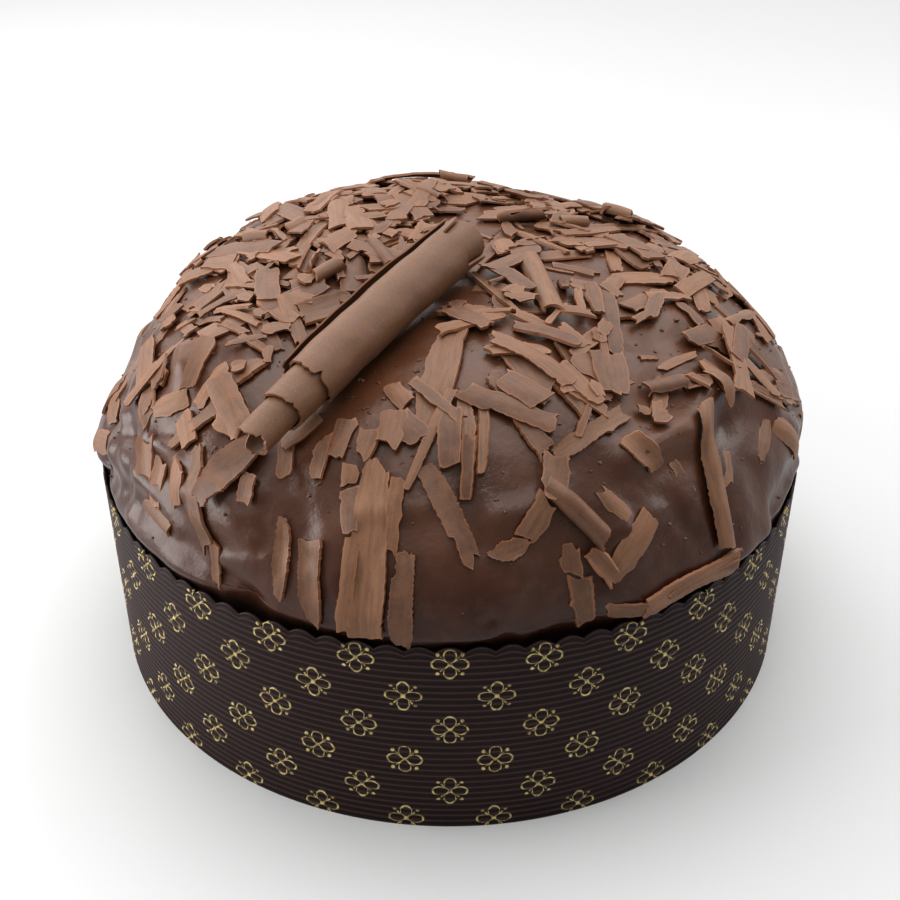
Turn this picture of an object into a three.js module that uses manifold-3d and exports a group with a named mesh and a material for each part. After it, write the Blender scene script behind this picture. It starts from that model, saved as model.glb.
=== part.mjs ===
// A low panettone in its pleated paper case, coated with dark chocolate and strewn with shavings.
// Millimetres, +Z up. The origin is the middle of the case's underside and the front is at -Y.
// Places on the dome are given as [degrees round from the front, mm down the dome from its crown].
import * as THREE from "three";
import { mergeVertices } from "three/addons/utils/BufferGeometryUtils.js";
import Module from "manifold-3d";

const wasm = await Module();
wasm.setup();

// Paper case
const CASE_RADIUS = 108;
const CASE_HEIGHT = 65;
const PAPER_THICK = 0.8;
const SCALLOPS = 88;
const SCALLOP_DEPTH = 1.8;

// The cake: a cylinder inside the case, then a dome that bulges a little over the rim
const CLEARANCE = 0.3;
const CAKE_RADIUS = 106.2;
const CAKE_FOOT = PAPER_THICK + CLEARANCE;
const FOOT_ROUNDING = 4;
const RIM_LEVEL = 63.6;
const WIDEST_LEVEL = 69;
const WIDEST_RADIUS = 108.6;
const CROWN_LEVEL = 121.8;
const SHOULDER_POWER = 4.1;
const CROWN_POWER = 1.36;
const OUTLINE_STEPS = 600;
const DOME_RINGS = 21;
const DOME_SECTORS = 64;

// Broad swells and dents, folds of the coating, and a nut under it
const RELIEF = [
  { from: [-86, 101], to: [-86, 101], reach: 34, height: -4.6 },
  { from: [-150, 62], to: [-150, 62], reach: 38, height: 1.2 },
  { from: [140, 66], to: [140, 66], reach: 36, height: -2.0 },
  { from: [82, 116], to: [82, 116], reach: 22, height: 1.4 },
  { from: [-86, 126], to: [-86, 126], reach: 16, height: 1.8 },
  { from: [-34, 35], to: [-31, 72], reach: 21, height: -5.4 },
  { from: [-63, 84], to: [-60, 86], reach: 6, height: 4.2 },
  { from: [-40, 117], to: [-29, 116], reach: 3, height: 1.1 },
  { from: [-62, 119], to: [-48, 127], reach: 5, height: 1.3 },
  { from: [33, 95], to: [43, 96], reach: 5, height: 1.8 },
  { from: [43, 96], to: [52, 89], reach: 5, height: 1.6 },
  { from: [60, 92], to: [70, 118], reach: 5, height: 1.5 },
  { from: [-98, 112], to: [-108, 128], reach: 6, height: 1.4 },
  { from: [118, 104], to: [128, 120], reach: 7, height: 1.5 },
  { from: [-150, 112], to: [-138, 124], reach: 7, height: 1.5 },
  { from: [172, 108], to: [-176, 122], reach: 7, height: 1.6 },
];

// Large shavings. wide is the sheet's width, turn the degrees that its section curls through, bow how
// far its middle swings aside, ends how wide it is at each end against its middle, and lift how far
// each end is raised off the coating.
const SHAVING_THICK = 1.2;
const SHAVING_GAP = 0.45;
const SHAVINGS = [
  { from: [-11.5, 91], to: [-11, 134], wide: 9, turn: 24, bow: 0, ends: [0.75, 1], lift: [0, 0] },
  { from: [-19.8, 112], to: [-18.6, 133], wide: 7, turn: 50, bow: 0, ends: [0.9, 0.6], lift: [0, 0] },
  { from: [-6, 112], to: [-6.4, 135], wide: 5.6, turn: 20, bow: 0, ends: [0.8, 0.9], lift: [0, 0] },
  { from: [-24.6, 108], to: [-23.8, 129], wide: 4.6, turn: 40, bow: 0.8, ends: [0.5, 0.5], lift: [0, 0] },
  { from: [-34, 92], to: [-37.8, 111], wide: 8.5, turn: 25, bow: 0, ends: [0.8, 0.5], lift: [1, 2.2] },
  { from: [-44, 100], to: [-37, 123], wide: 4.6, turn: 30, bow: 0, ends: [0.5, 0.8], lift: [0, 0] },
  { from: [-4, 91], to: [3.4, 113], wide: 5.4, turn: 35, bow: 0, ends: [0.8, 0.7], lift: [0, 0] },
  { from: [5.4, 111.5], to: [11, 110], wide: 5, turn: 20, bow: -1, ends: [0.3, 0.3], lift: [0, 0] },
  { from: [14.5, 97], to: [21.5, 112], wide: 11.5, turn: 310, bow: 0, ends: [1, 1], lift: [0, 0] },
  { from: [47.5, 91], to: [42.6, 127], wide: 7.6, turn: 130, bow: -2, ends: [0.9, 1], lift: [0.4, 0] },
  { from: [17.8, 90], to: [33, 84], wide: 5, turn: 30, bow: 0, ends: [0.8, 0.9], lift: [0.3, 0] },
  { from: [27, 133], to: [44.5, 133], wide: 6, turn: 35, bow: 0, ends: [0.6, 0.9], lift: [0.2, 0.2] },
  { from: [1.5, 47], to: [-4.5, 84], wide: 9.5, turn: 35, bow: 0, ends: [0.6, 0.5], lift: [0.6, 0] },
  { from: [3, 72], to: [3.2, 90], wide: 4.6, turn: 30, bow: 0, ends: [0.9, 0.6], lift: [0, 0] },
  { from: [8.8, 66], to: [16, 89], wide: 4.4, turn: 30, bow: 0, ends: [0.9, 0.9], lift: [0.2, 0] },
  { from: [-7, 34], to: [20, 43], wide: 6.5, turn: 35, bow: 1, ends: [0.7, 0.6], lift: [0.8, 0.8] },
  { from: [31, 60], to: [32, 79], wide: 10, turn: 25, bow: 0, ends: [0.7, 0.6], lift: [0.5, 0] },
  { from: [20.5, 66], to: [25.5, 83], wide: 4, turn: 45, bow: 0, ends: [0.8, 0.4], lift: [0.2, 0] },
  { from: [-50, 104], to: [-44.6, 88], wide: 4.6, turn: 30, bow: 0, ends: [0.7, 1], lift: [0, 0.3] },
  { from: [-46, 71], to: [-46.5, 85], wide: 4.2, turn: 35, bow: 0, ends: [0.8, 0.6], lift: [0, 0] },
  { from: [61, 95], to: [74, 112], wide: 5.5, turn: 45, bow: -1.5, ends: [0.5, 0.7], lift: [0, 0.3] },
  { from: [-72, 98], to: [-61, 92], wide: 5.5, turn: 30, bow: 0, ends: [0.5, 0.9], lift: [0, 0] },
  { from: [48, 52], to: [62, 62], wide: 7.5, turn: 20, bow: 0, ends: [0.7, 0.8], lift: [0.2, 0] },
  { from: [-84, 52], to: [-76, 72], wide: 6.5, turn: 30, bow: 0, ends: [0.6, 0.8], lift: [0, 0.2] },
  { from: [-128, 64], to: [-110, 70], wide: 7, turn: 40, bow: 0, ends: [0.8, 0.7], lift: [0.4, 0] },
  { from: [118, 70], to: [104, 78], wide: 6.5, turn: 40, bow: 1, ends: [0.8, 0.6], lift: [0, 0.4] },
  { from: [158, 40], to: [140, 58], wide: 7, turn: 35, bow: 0, ends: [0.6, 0.8], lift: [0.3, 0.3] },
  { from: [-168, 58], to: [-162, 84], wide: 7.5, turn: 60, bow: 0, ends: [0.8, 0.6], lift: [0.2, 0] },
  { from: [168, 86], to: [176, 112], wide: 7, turn: 30, bow: 1, ends: [0.7, 0.9], lift: [0, 0] },
  { from: [-132, 92], to: [-142, 112], wide: 8.5, turn: 160, bow: 0, ends: [0.9, 1], lift: [0, 0] },
];

// The great curl: one sheet rolled up along a gently bent line, each inner turn drawn further out
const CURL_LINE = [[4.6, -8, 130.9], [-22, -47.2, 125.3], [-48.5, -86.5, 112.5]];
const CURL_CORE = 3.9;
const CURL_PITCH = 1.25;
const CURL_THICK = 1;
const CURL_TURNS = 3.1;
const CURL_STEPS_ROUND = 12;
const CURL_STEPS_ALONG = 5;
const CURL_TURN_ENDS = [1, 0.88, 0.76];

const SHAVING_ROWS = 5;
const FLAT_COLUMNS = 2;
const ROLLED_COLUMNS = 7;
const ROLLED_FROM = 100;

// Small flakes that are part of the coating, largest first
const FLAKE_SEED = 20417;
const FLAKE_COUNT = 84;
const FLAKE_REACH = 128;
const FLAKE_SPACING = 11;
const FLAKE_THICK = 1.1;
const FLAKE_SINK = 0.5;
const FLAKE_LENGTHS = [19, 9];
const FLAKE_MARGIN = 1.2;

const COLOURS = {
  paper: 0x3b2c2b,
  coating: 0x5b4038,
  shaving: 0x7c5844,
  curl: 0x80604f,
};

const radians = THREE.MathUtils.degToRad;
const lerp = THREE.MathUtils.lerp;

// The same row of random numbers each time, from 0 to 1
function seededDraw(seed) {
  let state = seed;
  return () => {
    state = (state + 0x6d2b79f5) | 0;
    let mixed = Math.imul(state ^ (state >>> 15), 1 | state);
    mixed = (mixed + Math.imul(mixed ^ (mixed >>> 7), 61 | mixed)) ^ mixed;
    return ((mixed ^ (mixed >>> 14)) >>> 0) / 4294967296;
  };
}

// The dome's outline from its crown to the case's rim, with the distance along it
function domeOutline() {
  const outline = [];
  for (let i = 0; i <= OUTLINE_STEPS; i++) {
    const angle = (Math.PI / 2) * (1 - i / OUTLINE_STEPS);
    const radius = i === 0 ? 0 : WIDEST_RADIUS * Math.cos(angle) ** (2 / SHOULDER_POWER);
    const rise = (CROWN_LEVEL - WIDEST_LEVEL) * Math.sin(angle) ** (2 / CROWN_POWER);
    outline.push({ radius, level: WIDEST_LEVEL + rise });
  }
  const tuckSteps = OUTLINE_STEPS / 10;
  for (let i = 1; i <= tuckSteps; i++) {
    const part = i / tuckSteps;
    const radius = lerp(CAKE_RADIUS, WIDEST_RADIUS, 0.5 + 0.5 * Math.cos(part * Math.PI));
    outline.push({ radius, level: lerp(WIDEST_LEVEL, RIM_LEVEL, part) });
  }
  outline[0].along = 0;
  for (let i = 1; i < outline.length; i++) {
    const [a, b] = [outline[i - 1], outline[i]];
    b.along = a.along + Math.hypot(b.radius - a.radius, b.level - a.level);
  }
  return outline;
}

const OUTLINE = domeOutline();
const DOME_LENGTH = OUTLINE.at(-1).along;

// Radius and level on the outline a given way down from the crown
function outlineAt(along) {
  const wanted = THREE.MathUtils.clamp(along, 0, DOME_LENGTH);
  let low = 0;
  let high = OUTLINE.length - 1;
  while (high - low > 1) {
    const middle = (low + high) >> 1;
    if (OUTLINE[middle].along <= wanted) low = middle;
    else high = middle;
  }
  const [a, b] = [OUTLINE[low], OUTLINE[high]];
  const part = (wanted - a.along) / (b.along - a.along);
  return { radius: lerp(a.radius, b.radius, part), level: lerp(a.level, b.level, part) };
}

// A place on the dome as a point on its flat plan, where distances from the crown keep their length
function onPlan([degrees, along]) {
  const angle = radians(degrees);
  return new THREE.Vector2(along * Math.sin(angle), -along * Math.cos(angle));
}

function distanceToLine(point, start, end) {
  const line = end.clone().sub(start);
  const length = line.lengthSq();
  const part = length ? THREE.MathUtils.clamp(point.clone().sub(start).dot(line) / length, 0, 1) : 0;
  return point.distanceTo(start.clone().addScaledVector(line, part));
}

function reliefAt(point) {
  let height = 0;
  for (const swell of RELIEF) {
    const away = distanceToLine(point, onPlan(swell.from), onPlan(swell.to)) / swell.reach;
    height += swell.height * Math.exp(-away * away);
  }
  return height;
}

// The point at a height above the coating over a point of the plan
function aboveDome(point, height) {
  const along = point.length();
  const nearby = 0.5;
  const here = outlineAt(along);
  const before = outlineAt(Math.max(along - nearby, 0));
  const after = outlineAt(Math.min(along + nearby, DOME_LENGTH));
  const slope = new THREE.Vector2(after.radius - before.radius, after.level - before.level).normalize();
  const up = reliefAt(point) + height;
  const radius = here.radius - slope.y * up;
  const level = here.level + slope.x * up;
  const outward = along > 1e-6 ? point.clone().divideScalar(along) : new THREE.Vector2();
  return new THREE.Vector3(outward.x * radius, outward.y * radius, level);
}

// Moves a point of the plan by a real distance: round the dome the plan is wider than the dome is
function movedOnPlan(point, step) {
  const along = point.length();
  if (along < 1) return point.clone().add(step);
  const outward = point.clone().divideScalar(along);
  const down = step.dot(outward);
  const round = step.clone().addScaledVector(outward, -down);
  const widening = along / outlineAt(along).radius;
  return point.clone().addScaledVector(outward, down).addScaledVector(round, widening);
}

// A closed sheet from the points of its two faces, each a function of the row and the column
function sheetGeometry(rows, columns, face, back) {
  const positions = [];
  for (const side of [face, back])
    for (let i = 0; i <= rows; i++)
      for (let j = 0; j <= columns; j++) positions.push(...side(i, j).toArray());
  const backStart = (rows + 1) * (columns + 1);
  const at = (i, j) => i * (columns + 1) + j;
  const index = [];
  const quad = (a, b, c, d) => index.push(a, b, c, a, c, d);
  for (let i = 0; i < rows; i++)
    for (let j = 0; j < columns; j++) {
      const corners = [at(i, j), at(i + 1, j), at(i + 1, j + 1), at(i, j + 1)];
      quad(...corners);
      quad(...corners.map((corner) => corner + backStart).reverse());
    }
  const rim = [];
  for (let i = 0; i < rows; i++) rim.push(at(i, 0));
  for (let j = 0; j < columns; j++) rim.push(at(rows, j));
  for (let i = rows; i > 0; i--) rim.push(at(i, columns));
  for (let j = columns; j > 0; j--) rim.push(at(0, j));
  rim.forEach((here, k) => {
    const next = rim[(k + 1) % rim.length];
    quad(next, here, here + backStart, next + backStart);
  });
  const geometry = new THREE.BufferGeometry();
  geometry.setAttribute("position", new THREE.Float32BufferAttribute(positions, 3));
  geometry.setIndex(index);
  return geometry;
}

// A geometry as a solid for joining and cutting, with its shared corners merged
function solidFrom(geometry) {
  const bare = new THREE.BufferGeometry().setAttribute("position", geometry.getAttribute("position").clone());
  if (geometry.index) bare.setIndex(geometry.index.clone());
  const merged = mergeVertices(bare, 1e-4);
  const corners = merged.index.array;
  const triangles = [];
  for (let i = 0; i < corners.length; i += 3) {
    const [a, b, c] = corners.slice(i, i + 3);
    if (a !== b && b !== c && c !== a) triangles.push(a, b, c);
  }
  const vertProperties = new Float32Array(merged.attributes.position.array);
  const make = (triVerts) => new wasm.Manifold(new wasm.Mesh({ numProp: 3, vertProperties, triVerts }));
  const solid = make(new Uint32Array(triangles));
  return solid.volume() > 0 ? solid : make(new Uint32Array(triangles.reverse()));
}

function geometryFrom(solid) {
  const mesh = solid.getMesh();
  const geometry = new THREE.BufferGeometry();
  geometry.setAttribute("position", new THREE.BufferAttribute(new Float32Array(mesh.vertProperties), 3));
  geometry.setIndex(new THREE.BufferAttribute(new Uint32Array(mesh.triVerts), 1));
  geometry.computeVertexNormals();
  return geometry;
}

// A shaving on the dome: a sheet whose section is an arc and whose outline narrows to its ends
function shavingSolid(shaving, rows, columns, foot, thick) {
  const start = onPlan(shaving.from);
  const end = onPlan(shaving.to);
  const heading = end.clone().sub(start).normalize();
  const aside = new THREE.Vector2(-heading.y, heading.x);
  const turn = radians(shaving.turn);
  const arcRadius = shaving.wide / turn;
  const pointAt = (i, j, side) => {
    const part = i / rows;
    const fromMiddle = Math.abs(2 * part - 1);
    const narrowing = lerp(1, shaving.ends[part < 0.5 ? 0 : 1], fromMiddle ** 2);
    const angle = (j / columns - 0.5) * turn * narrowing;
    const reach = arcRadius - side * thick * 0.5;
    const across = reach * Math.sin(angle) + shaving.bow * (1 - fromMiddle ** 2);
    const rise = arcRadius + thick / 2 - reach * Math.cos(angle);
    const middle = start.clone().lerp(end, part);
    const place = movedOnPlan(middle, aside.clone().multiplyScalar(across));
    return aboveDome(place, foot + rise + lerp(shaving.lift[0], shaving.lift[1], part));
  };
  return solidFrom(sheetGeometry(rows, columns, (i, j) => pointAt(i, j, 1), (i, j) => pointAt(i, j, -1)));
}

// The share of places at each point of the dome where flakes lie: fewer down the front and the right
function flakeShare(point) {
  const down = point.length() / FLAKE_REACH;
  const angle = Math.atan2(point.x, -point.y);
  const bareness = 0.62 + 0.36 * Math.cos(angle - radians(28));
  return 1.08 - bareness * down ** 2.2;
}

// The small flakes: random places, kept apart from each other and from the large pieces
function scatterFlakes() {
  const draw = seededDraw(FLAKE_SEED);
  const curlFoot = [CURL_LINE[0], CURL_LINE[2]].map(([x, y]) => new THREE.Vector2(x, y));
  const curlMargin = CURL_CORE + CURL_TURNS * CURL_PITCH + FLAKE_LENGTHS[0] / 3;
  const flakes = [];
  while (flakes.length < FLAKE_COUNT) {
    const along = FLAKE_REACH * Math.sqrt(draw());
    const middle = onPlan([draw() * 360, along]);
    const heading = draw() * Math.PI;
    const [shape, fold, chance] = [draw(), draw(), draw()];
    const long = lerp(FLAKE_LENGTHS[0], FLAKE_LENGTHS[1], flakes.length / FLAKE_COUNT);
    const wide = long * lerp(0.28, 0.5, shape);
    const half = new THREE.Vector2(Math.cos(heading), Math.sin(heading)).multiplyScalar(long / 2);
    const ends = [middle.clone().sub(half), middle.clone().add(half)];
    const crowded = flakes.some((flake) => flake.middle.distanceTo(middle) < FLAKE_SPACING);
    const onLarge = SHAVINGS.some((shaving) => {
      const room = (shaving.turn > 180 ? shaving.wide / 4 : shaving.wide / 2) + wide / 2 + FLAKE_MARGIN;
      const line = [onPlan(shaving.from), onPlan(shaving.to)];
      return [ends[0], middle, ends[1]].some((point) => distanceToLine(point, ...line) < room + 1)
        || line.some((point) => distanceToLine(point, ...ends) < room + 1);
    });
    const underCurl = distanceToLine(middle, ...curlFoot) < curlMargin;
    const offDome = ends.some((end) => end.length() > FLAKE_REACH);
    if (chance > flakeShare(middle) || crowded || onLarge || underCurl || offDome) continue;
    flakes.push({ middle, ends, wide, turn: lerp(20, 70, fold) });
  }
  return flakes;
}

function flakeSolid(flake) {
  const place = (point) => [THREE.MathUtils.radToDeg(Math.atan2(point.x, -point.y)), point.length()];
  const shaving = {
    from: place(flake.ends[0]), to: place(flake.ends[1]), wide: flake.wide, turn: flake.turn,
    bow: 0, ends: [0.7, 0.55], lift: [0, 0],
  };
  return shavingSolid(shaving, 2, 1, -FLAKE_SINK, FLAKE_THICK + FLAKE_SINK);
}

// The cake under its coating, turned on the axis and then given the relief of its dome
function cakeSolid() {
  const profile = [new THREE.Vector2(0, CAKE_FOOT)];
  const footSteps = 3;
  for (let i = 0; i <= footSteps; i++) {
    const angle = (Math.PI / 2) * (i / footSteps);
    const radius = CAKE_RADIUS - FOOT_ROUNDING * (1 - Math.sin(angle));
    profile.push(new THREE.Vector2(radius, CAKE_FOOT + FOOT_ROUNDING * (1 - Math.cos(angle))));
  }
  for (let i = DOME_RINGS; i > 0; i--) {
    const { radius, level } = outlineAt(DOME_LENGTH * (i / DOME_RINGS));
    profile.push(new THREE.Vector2(radius, level));
  }
  profile.push(new THREE.Vector2(0, CROWN_LEVEL));
  const turned = new THREE.LatheGeometry(profile, DOME_SECTORS).rotateX(Math.PI / 2);
  const position = turned.getAttribute("position");
  const domeStart = footSteps + 2;
  for (let k = 0; k < position.count; k++) {
    const row = k % profile.length;
    if (row <= domeStart) continue;
    const along = DOME_LENGTH * (1 - (row - domeStart) / DOME_RINGS);
    const angle = Math.atan2(position.getX(k), -position.getY(k));
    const place = onPlan([THREE.MathUtils.radToDeg(angle), along]);
    const { x, y, z } = aboveDome(place, 0);
    position.setXYZ(k, x, y, z);
  }
  return solidFrom(turned);
}

// The coated cake with its small flakes: one body, with no scrap or sealed hollow left by the joining
function panettoneSolid() {
  let body = cakeSolid();
  for (const flake of scatterFlakes()) body = body.add(flakeSolid(flake));
  const pieces = body.decompose().filter((piece) => piece.volume() > 0);
  return pieces.reduce((largest, piece) => (piece.volume() > largest.volume() ? piece : largest));
}

// The case: a flat base and an upright wall whose rim rises and falls in small scallops
function caseGeometry() {
  const steps = SCALLOPS * 2;
  const innerRadius = CASE_RADIUS - PAPER_THICK;
  const rings = [
    { radius: 0, level: () => 0 },
    { radius: CASE_RADIUS, level: () => 0 },
    { radius: CASE_RADIUS, level: (step) => CASE_HEIGHT - (step % 2) * SCALLOP_DEPTH },
    { radius: innerRadius, level: (step) => CASE_HEIGHT - (step % 2) * SCALLOP_DEPTH },
    { radius: innerRadius, level: () => PAPER_THICK },
    { radius: 0, level: () => PAPER_THICK },
  ];
  const profile = rings.map((ring) => new THREE.Vector2(ring.radius, ring.level(0)));
  const geometry = new THREE.LatheGeometry(profile, steps).rotateX(Math.PI / 2);
  const position = geometry.getAttribute("position");
  for (let k = 0; k < position.count; k++) {
    const step = Math.floor(k / rings.length) % steps;
    position.setZ(k, rings[k % rings.length].level(step));
  }
  return geometry;
}

// The great curl: the angle runs through all its turns, and each turn ends further back than the one inside
function curlGeometry() {
  const [far, middle, near] = CURL_LINE.map((point) => new THREE.Vector3(...point));
  const line = new THREE.QuadraticBezierCurve3(far, middle, near);
  const aside = new THREE.Vector3().subVectors(near, far).cross(new THREE.Vector3(0, 0, 1)).normalize();
  const rows = Math.round(CURL_STEPS_ROUND * CURL_TURNS);
  const pointAt = (i, j, side) => {
    const turns = i / CURL_STEPS_ROUND;
    const whole = Math.min(Math.floor(turns), CURL_TURN_ENDS.length - 1);
    const after = CURL_TURN_ENDS[Math.min(whole + 1, CURL_TURN_ENDS.length - 1)];
    const reach = lerp(CURL_TURN_ENDS[whole], after, THREE.MathUtils.smoothstep(turns - whole, 0.7, 1));
    const part = reach * (j / CURL_STEPS_ALONG);
    const radius = CURL_CORE + CURL_PITCH * turns + (side * CURL_THICK) / 2;
    const angle = turns * 2 * Math.PI;
    const up = new THREE.Vector3().crossVectors(aside, line.getTangent(part)).normalize();
    return line.getPoint(part)
      .addScaledVector(aside, radius * Math.cos(angle))
      .addScaledVector(up, radius * Math.sin(angle));
  };
  return sheetGeometry(rows, CURL_STEPS_ALONG, (i, j) => pointAt(i, j, 1), (i, j) => pointAt(i, j, -1));
}

function namedMesh(name, solid, color, roughness) {
  const material = new THREE.MeshStandardMaterial({ color, roughness, metalness: 0 });
  const mesh = new THREE.Mesh(geometryFrom(solid), material);
  mesh.name = name;
  return mesh;
}

const panettone = new THREE.Group();
panettone.add(namedMesh("paper_case", solidFrom(caseGeometry()), COLOURS.paper, 0.75));
panettone.add(namedMesh("panettone", panettoneSolid(), COLOURS.coating, 0.42));
panettone.add(namedMesh("chocolate_curl", solidFrom(curlGeometry()), COLOURS.curl, 0.6));
SHAVINGS.forEach((shaving, number) => {
  const columns = shaving.turn > ROLLED_FROM ? ROLLED_COLUMNS : FLAT_COLUMNS;
  const solid = shavingSolid(shaving, SHAVING_ROWS, columns, SHAVING_GAP, SHAVING_THICK);
  const name = "shaving_" + String(number + 1).padStart(2, "0");
  panettone.add(namedMesh(name, solid, COLOURS.shaving, 0.65));
});

export default panettone;
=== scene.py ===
# A low panettone in its ribbed paper case, coated with dark chocolate and strewn with shavings.
import math
from functools import partial

import bpy
import numpy as np
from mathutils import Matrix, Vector


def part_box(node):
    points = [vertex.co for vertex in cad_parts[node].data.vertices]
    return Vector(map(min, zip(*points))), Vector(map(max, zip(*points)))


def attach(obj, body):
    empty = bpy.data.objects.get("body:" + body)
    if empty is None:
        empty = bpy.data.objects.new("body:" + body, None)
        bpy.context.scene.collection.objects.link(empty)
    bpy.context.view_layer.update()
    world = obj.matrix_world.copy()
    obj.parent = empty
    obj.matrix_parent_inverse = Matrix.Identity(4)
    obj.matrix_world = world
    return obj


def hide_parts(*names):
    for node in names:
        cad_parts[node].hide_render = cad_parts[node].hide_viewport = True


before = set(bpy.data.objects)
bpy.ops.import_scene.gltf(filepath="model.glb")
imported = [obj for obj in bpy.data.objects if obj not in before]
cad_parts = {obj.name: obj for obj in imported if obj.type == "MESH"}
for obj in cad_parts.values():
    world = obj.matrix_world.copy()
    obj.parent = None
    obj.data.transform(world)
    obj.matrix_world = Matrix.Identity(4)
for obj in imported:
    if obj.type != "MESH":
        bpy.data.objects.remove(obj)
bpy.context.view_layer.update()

# Sizes are in millimetres, and a finished mesh is turned to metres once, as it is made.
# A place on the dome is [degrees round from the front, mm down the dome from its crown], and its
# plan is the dome rolled out flat round the crown, with distances from the crown kept.
MM = 0.001

# Paper case
CASE_LOW, CASE_HIGH = (np.array(corner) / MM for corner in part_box("paper_case"))
CASE_RADIUS = float(CASE_HIGH[0] - CASE_LOW[0]) / 2
CASE_HEIGHT = float(CASE_HIGH[2])
PAPER_THICK = 0.8
SCALLOPS = 88
SCALLOP_DEPTH = 1.8
RIBS = 30
RIB_DEPTH = 0.34

# Printed flowers
FLOWERS_ROUND = 28
FLOWER_ROW = 11.4
PETAL_REACH = 4.7
PETAL_ROUNDNESS = 0.55
PETAL_LINE = 0.25
DOT_REACH = 4.5

# Cake and dome
CAKE_FOOT = PAPER_THICK + 0.3
CAKE_RADIUS = 106.2
FOOT_ROUNDING = 4.0
RIM_LEVEL = 63.6
WIDEST_LEVEL = 69.0
WIDEST_RADIUS = 108.6
CROWN_LEVEL = 121.8
SHOULDER_POWER = 4.1
CROWN_POWER = 1.36
OUTLINE_STEPS = 600

# Broad swells and dents, folds of the coating, and a nut under it
RELIEF = [
    # from, to, reach, height
    ((-86, 101), (-86, 101), 34, -4.6),
    ((-150, 62), (-150, 62), 38, 1.2),
    ((140, 66), (140, 66), 36, -2.0),
    ((82, 116), (82, 116), 22, 1.4),
    ((-86, 126), (-86, 126), 16, 1.8),
    ((-34, 35), (-31, 72), 21, -5.4),
    ((-63, 84), (-60, 86), 6, 4.2),
    ((-40, 117), (-29, 116), 3, 1.1),
    ((-62, 119), (-48, 127), 5, 1.3),
    ((33, 95), (43, 96), 5, 1.8),
    ((43, 96), (52, 89), 5, 1.6),
    ((60, 92), (70, 118), 5, 1.5),
    ((-98, 112), (-108, 128), 6, 1.4),
    ((118, 104), (128, 120), 7, 1.5),
    ((-150, 112), (-138, 124), 7, 1.5),
    ((172, 108), (-176, 122), 7, 1.6),
]

# Large shavings: where each starts and ends, its sheet's width, the degrees its section curls through,
# how far its middle swings aside, how wide its ends are, and how far each end is off the coating
SHEET_THICK = 0.95
SHAVING_GAP = 0.45
ROLLED_FROM = 100
SHAVINGS = [
    ((-11.5, 91), (-11, 134), 9, 24, 0, (0.75, 1), (0, 0)),
    ((-19.8, 112), (-18.6, 133), 7, 50, 0, (0.9, 0.6), (0, 0)),
    ((-6, 112), (-6.4, 135), 5.6, 20, 0, (0.8, 0.9), (0, 0)),
    ((-24.6, 108), (-23.8, 129), 4.6, 40, 0.8, (0.5, 0.5), (0, 0)),
    ((-34, 92), (-37.8, 111), 8.5, 25, 0, (0.8, 0.5), (1, 2.2)),
    ((-44, 100), (-37, 123), 4.6, 30, 0, (0.5, 0.8), (0, 0)),
    ((-4, 91), (3.4, 113), 5.4, 35, 0, (0.8, 0.7), (0, 0)),
    ((5.4, 111.5), (11, 110), 5, 20, -1, (0.3, 0.3), (0, 0)),
    ((14.5, 97), (21.5, 112), 11.5, 310, 0, (1, 1), (0, 0)),
    ((47.5, 91), (42.6, 127), 7.6, 130, -2, (0.9, 1), (0.4, 0)),
    ((17.8, 90), (33, 84), 5, 30, 0, (0.8, 0.9), (0.3, 0)),
    ((27, 133), (44.5, 133), 6, 35, 0, (0.6, 0.9), (0.2, 0.2)),
    ((1.5, 47), (-4.5, 84), 9.5, 35, 0, (0.6, 0.5), (0.6, 0)),
    ((3, 72), (3.2, 90), 4.6, 30, 0, (0.9, 0.6), (0, 0)),
    ((8.8, 66), (16, 89), 4.4, 30, 0, (0.9, 0.9), (0.2, 0)),
    ((-7, 34), (20, 43), 6.5, 35, 1, (0.7, 0.6), (0.8, 0.8)),
    ((31, 60), (32, 79), 10, 25, 0, (0.7, 0.6), (0.5, 0)),
    ((20.5, 66), (25.5, 83), 4, 45, 0, (0.8, 0.4), (0.2, 0)),
    ((-50, 104), (-44.6, 88), 4.6, 30, 0, (0.7, 1), (0, 0.3)),
    ((-46, 71), (-46.5, 85), 4.2, 35, 0, (0.8, 0.6), (0, 0)),
    ((61, 95), (74, 112), 5.5, 45, -1.5, (0.5, 0.7), (0, 0.3)),
    ((-72, 98), (-61, 92), 5.5, 30, 0, (0.5, 0.9), (0, 0)),
    ((48, 52), (62, 62), 7.5, 20, 0, (0.7, 0.8), (0.2, 0)),
    ((-84, 52), (-76, 72), 6.5, 30, 0, (0.6, 0.8), (0, 0.2)),
    ((-128, 64), (-110, 70), 7, 40, 0, (0.8, 0.7), (0.4, 0)),
    ((118, 70), (104, 78), 6.5, 40, 1, (0.8, 0.6), (0, 0.4)),
    ((158, 40), (140, 58), 7, 35, 0, (0.6, 0.8), (0.3, 0.3)),
    ((-168, 58), (-162, 84), 7.5, 60, 0, (0.8, 0.6), (0.2, 0)),
    ((168, 86), (176, 112), 7, 30, 1, (0.7, 0.9), (0, 0)),
    ((-132, 92), (-142, 112), 8.5, 160, 0, (0.9, 1), (0, 0)),
]

# The great curl: one sheet rolled up along a gently bent line, each inner turn drawn further out
CURL_LINE = ((4.6, -8, 130.9), (-22, -47.2, 125.3), (-48.5, -86.5, 112.5))
CURL_CORE = 3.9
CURL_PITCH = 1.25
CURL_THICK = 1.0
CURL_TURNS = 3.1
CURL_TURN_ENDS = (1, 0.88, 0.76)
# The outer layer is broken away between these turns, by this share of the length, at the far end
CURL_BREAK = (2.2, 2.57, 0.1)

# Small flakes that are part of the coating, largest first
FLAKE_SEED = 20417
FLAKE_COUNT = 84
FLAKE_REACH = 128
FLAKE_SPACING = 11
FLAKE_LENGTHS = (19, 9)
FLAKE_MARGIN = 1.2

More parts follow.
